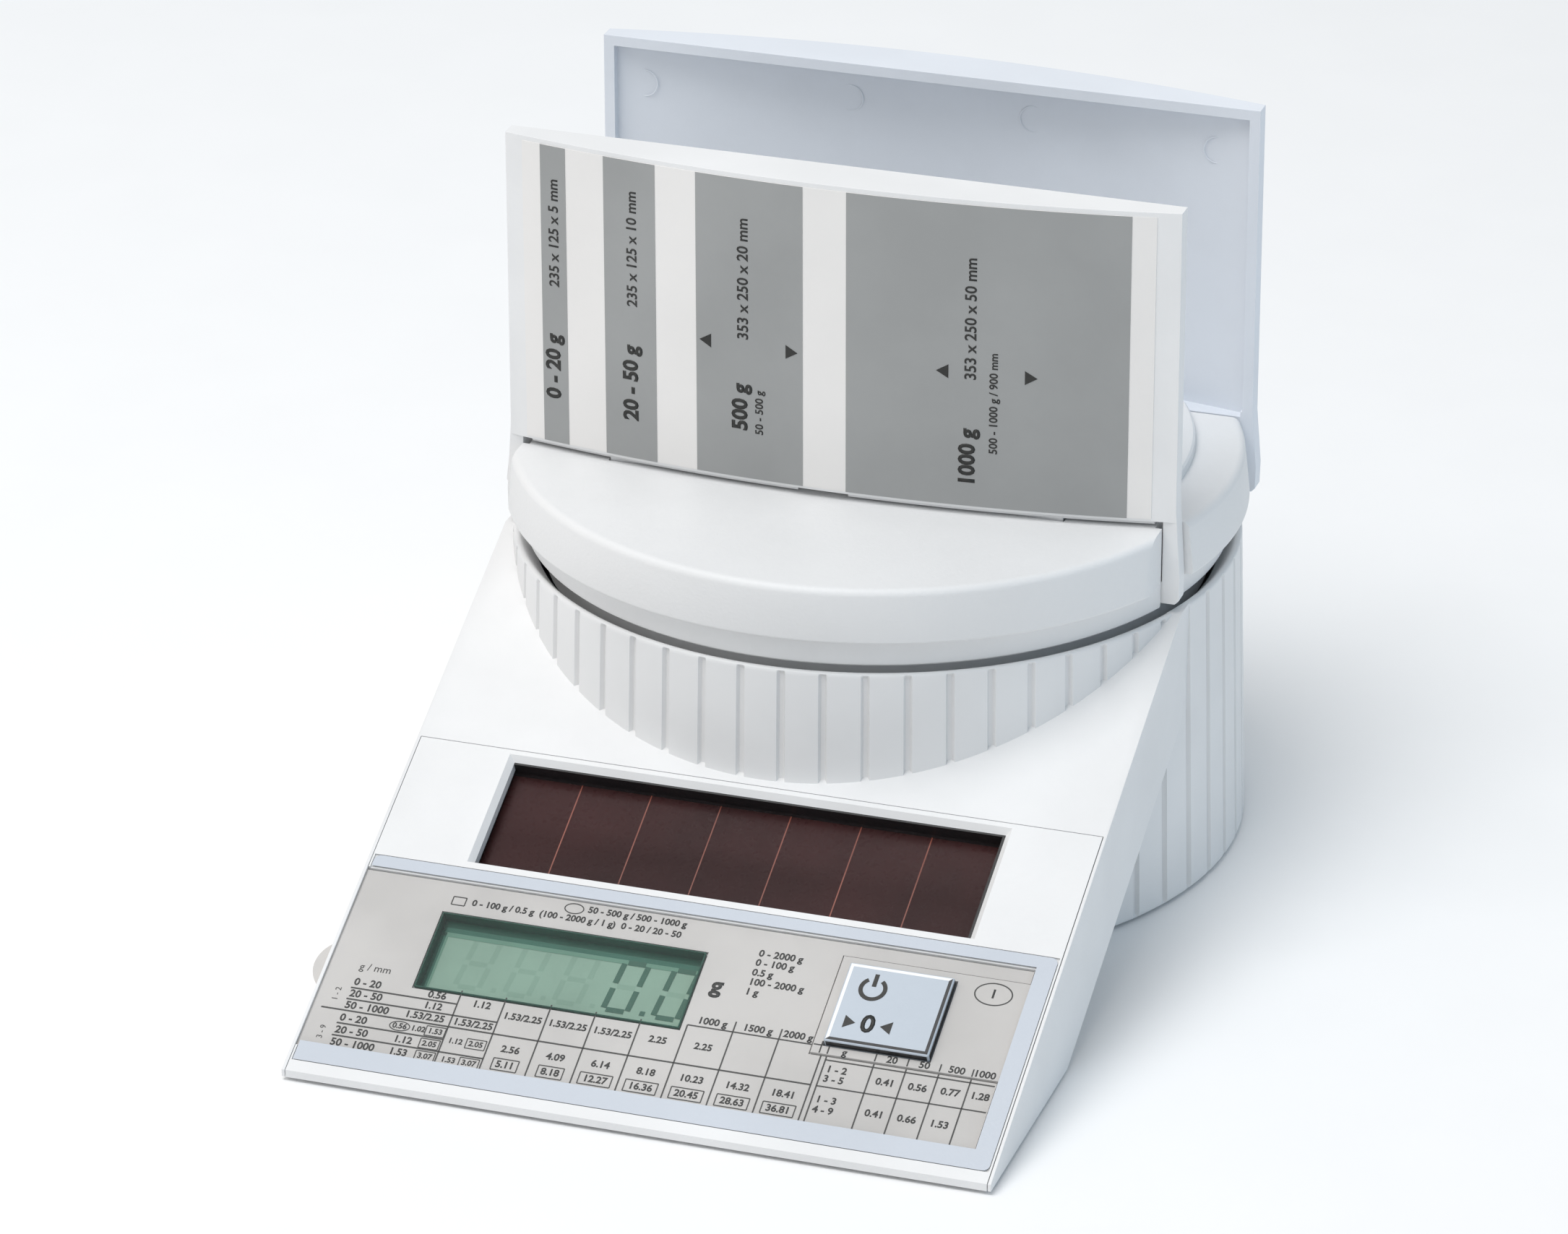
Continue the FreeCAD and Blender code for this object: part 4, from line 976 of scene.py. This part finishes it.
def buildKey():
    (x0, x1), (u0, u1) = keyPlace["x"], keyPlace["u"]
    proud = keyPlace["proud"]
    cap = solidOf(slopeBlock("keyCap", (x0, x1), (u0, u1), (-2.9, proud)))
    combine(cap, [slopeBlock("flange", (x0 - 1.3, x1 + 1.3), (u0 - 1.3, u1 + 1.3), (-3.6, -2.85))], "UNION")
    piece = addPiece("keyCap", settle(cap), "keyCap", "key", ["on_off_key"])
    softenEdges(piece, 0.35, 3)
    outX = (x0 + keyPlace["edge"], x1 - keyPlace["edge"])
    outU = (u0 + keyPlace["edge"], u1 - keyPlace["edge"])
    inX = (outX[0] + keyPlace["bevel"], outX[1] - keyPlace["bevel"])
    inU = (outU[0] + keyPlace["bevel"], outU[1] - keyPlace["bevel"])
    # painted highlight: a white band on the key's top and left edges where the light catches them
    light = InkSheet("keyBevelHighlight", slopeSurface(proud), 0.03)
    light.polygon([(outX[0], outU[0]), (outX[0], outU[1]), (inX[0], inU[1]), (inX[0], inU[0])])
    light.polygon([(outX[0], outU[1]), (outX[1], outU[1]), (inX[1], inU[1]), (inX[0], inU[1])])
    light.build("keyPaintedHighlight", "key")
    # painted shade: a black band on the key's bottom and right edges where they fall in shadow
    dark = InkSheet("keyBevelShadow", slopeSurface(proud), 0.03)
    dark.polygon([(outX[1], outU[0]), (outX[1], outU[1]), (inX[1], inU[1]), (inX[1], inU[0])])
    dark.polygon([(outX[0], outU[0]), (outX[1], outU[0]), (inX[1], inU[0]), (inX[0], inU[0])])
    dark.build("keyPaintedShade", "key")
    # painted shadow: black walls on the key's right and near sides stand in for the shade in the gap round
    # the key
    for name, x, u in (("keyRightShadow", (x1 - 0.1, x1 + 0.04), (u0 + 0.35, u1 - 0.35)),
                       ("keyNearShadow", (x0 + 0.35, x1 - 0.35), (u0 - 0.04, u0 + 0.1))):
        side = slopeBlock(name, x, u, (-0.4, proud - 0.33))
        addPiece(name, side, "keyPaintedShade", "key", smooth=0)
    marks = InkSheet("keyMarks", slopeSurface(proud), 0.05)
    # power mark, then a zero between two arrow heads for taring
    cx, cu = x0 + 5.4, u1 - 4.9
    marks.ring(cx, cu, 2.5, 2.5, keyPlace["stroke"], math.radians(125), math.radians(415))
    marks.rule((cx, cu + 0.5), (cx, cu + 3.1), keyPlace["stroke"])
    cx, cu = x0 + 6.6, u0 + 4.4
    marks.text("0", cx, cu, 3.6, 0, 0.14)
    for side in (-1, 1):
        tip = cx + side * 2.2
        marks.polygon([(tip, cu), (tip + side * 2.0, cu + 1.3), (tip + side * 2.0, cu - 1.3)])
    return marks.build("printInk", "key")


buildKey()
print("solar cell and key built")

carried = {
    "base_plate": "housingWhite", "console_underside": "housingWhite", "rubber_feet": "footRubber",
    "base_screws": "screwSteel", "console_screws": "screwSteel", "solar_tray": "trayBlack",
    "solar_window": "clearWindow", "key_surround": "cardPaper", "lcd_holder": "trayBlack",
    "zebra_strip": "contactRubber", "circuit_board": "boardGreen", "board_screws": "screwSteel",
    "controller_chip": "trayBlack", "board_components": "componentGrey",
    "key_switch": "componentGrey", "solar_leads": "leadCopper", "load_cell": "milledAluminium",
    "load_cell_spacer": "milledAluminium", "load_cell_lower_screws": "screwSteel",
    "overload_stop": "screwSteel", "load_cell_wires": "wireSleeve", "pan_carrier": "carrierGrey",
    "load_cell_upper_screws": "screwSteel", "platform_screws": "screwSteel",
    "gauge_label": "labelPaper", "gauge_stripes": "stripeGrey",
}
for nodeName, finish in carried.items():
    mesh = nodes[nodeName].data
    mesh.materials.clear()
    mesh.materials.append(finishes[finish])
print("carried parts finished:", len(carried))

studio = {
    "floorColour": (0.95, 0.95, 0.95), "worldLeft": (1.0, 0.99, 0.98), "worldRight": (0.58, 0.80, 1.0),
    "worldStrength": 0.62, "keyPower": 13.5, "keySize": 1.0, "keySpot": (-0.35, -0.42, 1.45),
    "keyAim": (0, -0.03, 0.05),
    "floorHalf": 6, "floorZ": -0.0002,
}
view = {
    "eye": (365.391, -1137.707, 597.684), "yaw": 0.324901, "pitch": -0.439107, "roll": -0.002433,
    "lens": 166.92, "sensor": 36,
}


def buildStudio():
    half = studio["floorHalf"]
    corners = ((-half, -half), (half, -half), (half, half), (-half, half))
    points = [Vector((x, y, studio["floorZ"])) for x, y in corners]
    floorMesh = meshOf("floor", points, [(0, 1, 2, 3)])
    floor = bpy.data.objects.new("floor", floorMesh)
    bpy.context.scene.collection.objects.link(floor)
    floorMesh.materials.append(grainedFinish("floorPaper", studio["floorColour"], 0.9, 60, 0.00001, 0.005))
    world = bpy.data.worlds.new("studioWorld")
    world.use_nodes = True
    background = world.node_tree.nodes["Background"]
    tree = world.node_tree
    direction = tree.nodes.new("ShaderNodeTexCoord")
    parts = tree.nodes.new("ShaderNodeSeparateXYZ")
    tree.links.new(direction.outputs["Generated"], parts.inputs["Vector"])
    tint = rampNode(tree, parts.outputs["X"], [(0.15, studio["worldLeft"]), (0.8, studio["worldRight"])])
    tree.links.new(tint.outputs["Color"], background.inputs["Color"])
    background.inputs["Strength"].default_value = studio["worldStrength"]
    bpy.context.scene.world = world
    light = bpy.data.lights.new("keyLight", "AREA")
    light.energy = studio["keyPower"]
    light.size = studio["keySize"]
    lamp = bpy.data.objects.new("keyLight", light)
    spot = Vector(studio["keySpot"])
    lamp.location = spot
    lamp.rotation_mode = "QUATERNION"
    lamp.rotation_quaternion = (spot - Vector(studio["keyAim"])).to_track_quat("Z", "Y")
    bpy.context.scene.collection.objects.link(lamp)


def buildCamera():
    yaw, pitch, roll = view["yaw"], view["pitch"], view["roll"]
    ahead = Vector((-math.sin(yaw) * math.cos(pitch), math.cos(yaw) * math.cos(pitch), math.sin(pitch)))
    right = ahead.cross(Vector((0, 0, 1))).normalized()
    above = right.cross(ahead)
    rolledRight = math.cos(roll) * right + math.sin(roll) * above
    rolledUp = -math.sin(roll) * right + math.cos(roll) * above
    lens = bpy.data.cameras.new("camera")
    lens.lens = view["lens"]
    lens.sensor_width = view["sensor"]
    camera = bpy.data.objects.new("camera", lens)
    turn = Matrix((rolledRight, rolledUp, -ahead)).transposed().to_4x4()
    camera.matrix_world = Matrix.Translation(at(*view["eye"])) @ turn
    bpy.context.scene.collection.objects.link(camera)
    bpy.context.scene.camera = camera


buildStudio()
buildCamera()
bpy.context.scene.view_settings.view_transform = "Standard"
bpy.context.view_layer.update()
print("studio ready")
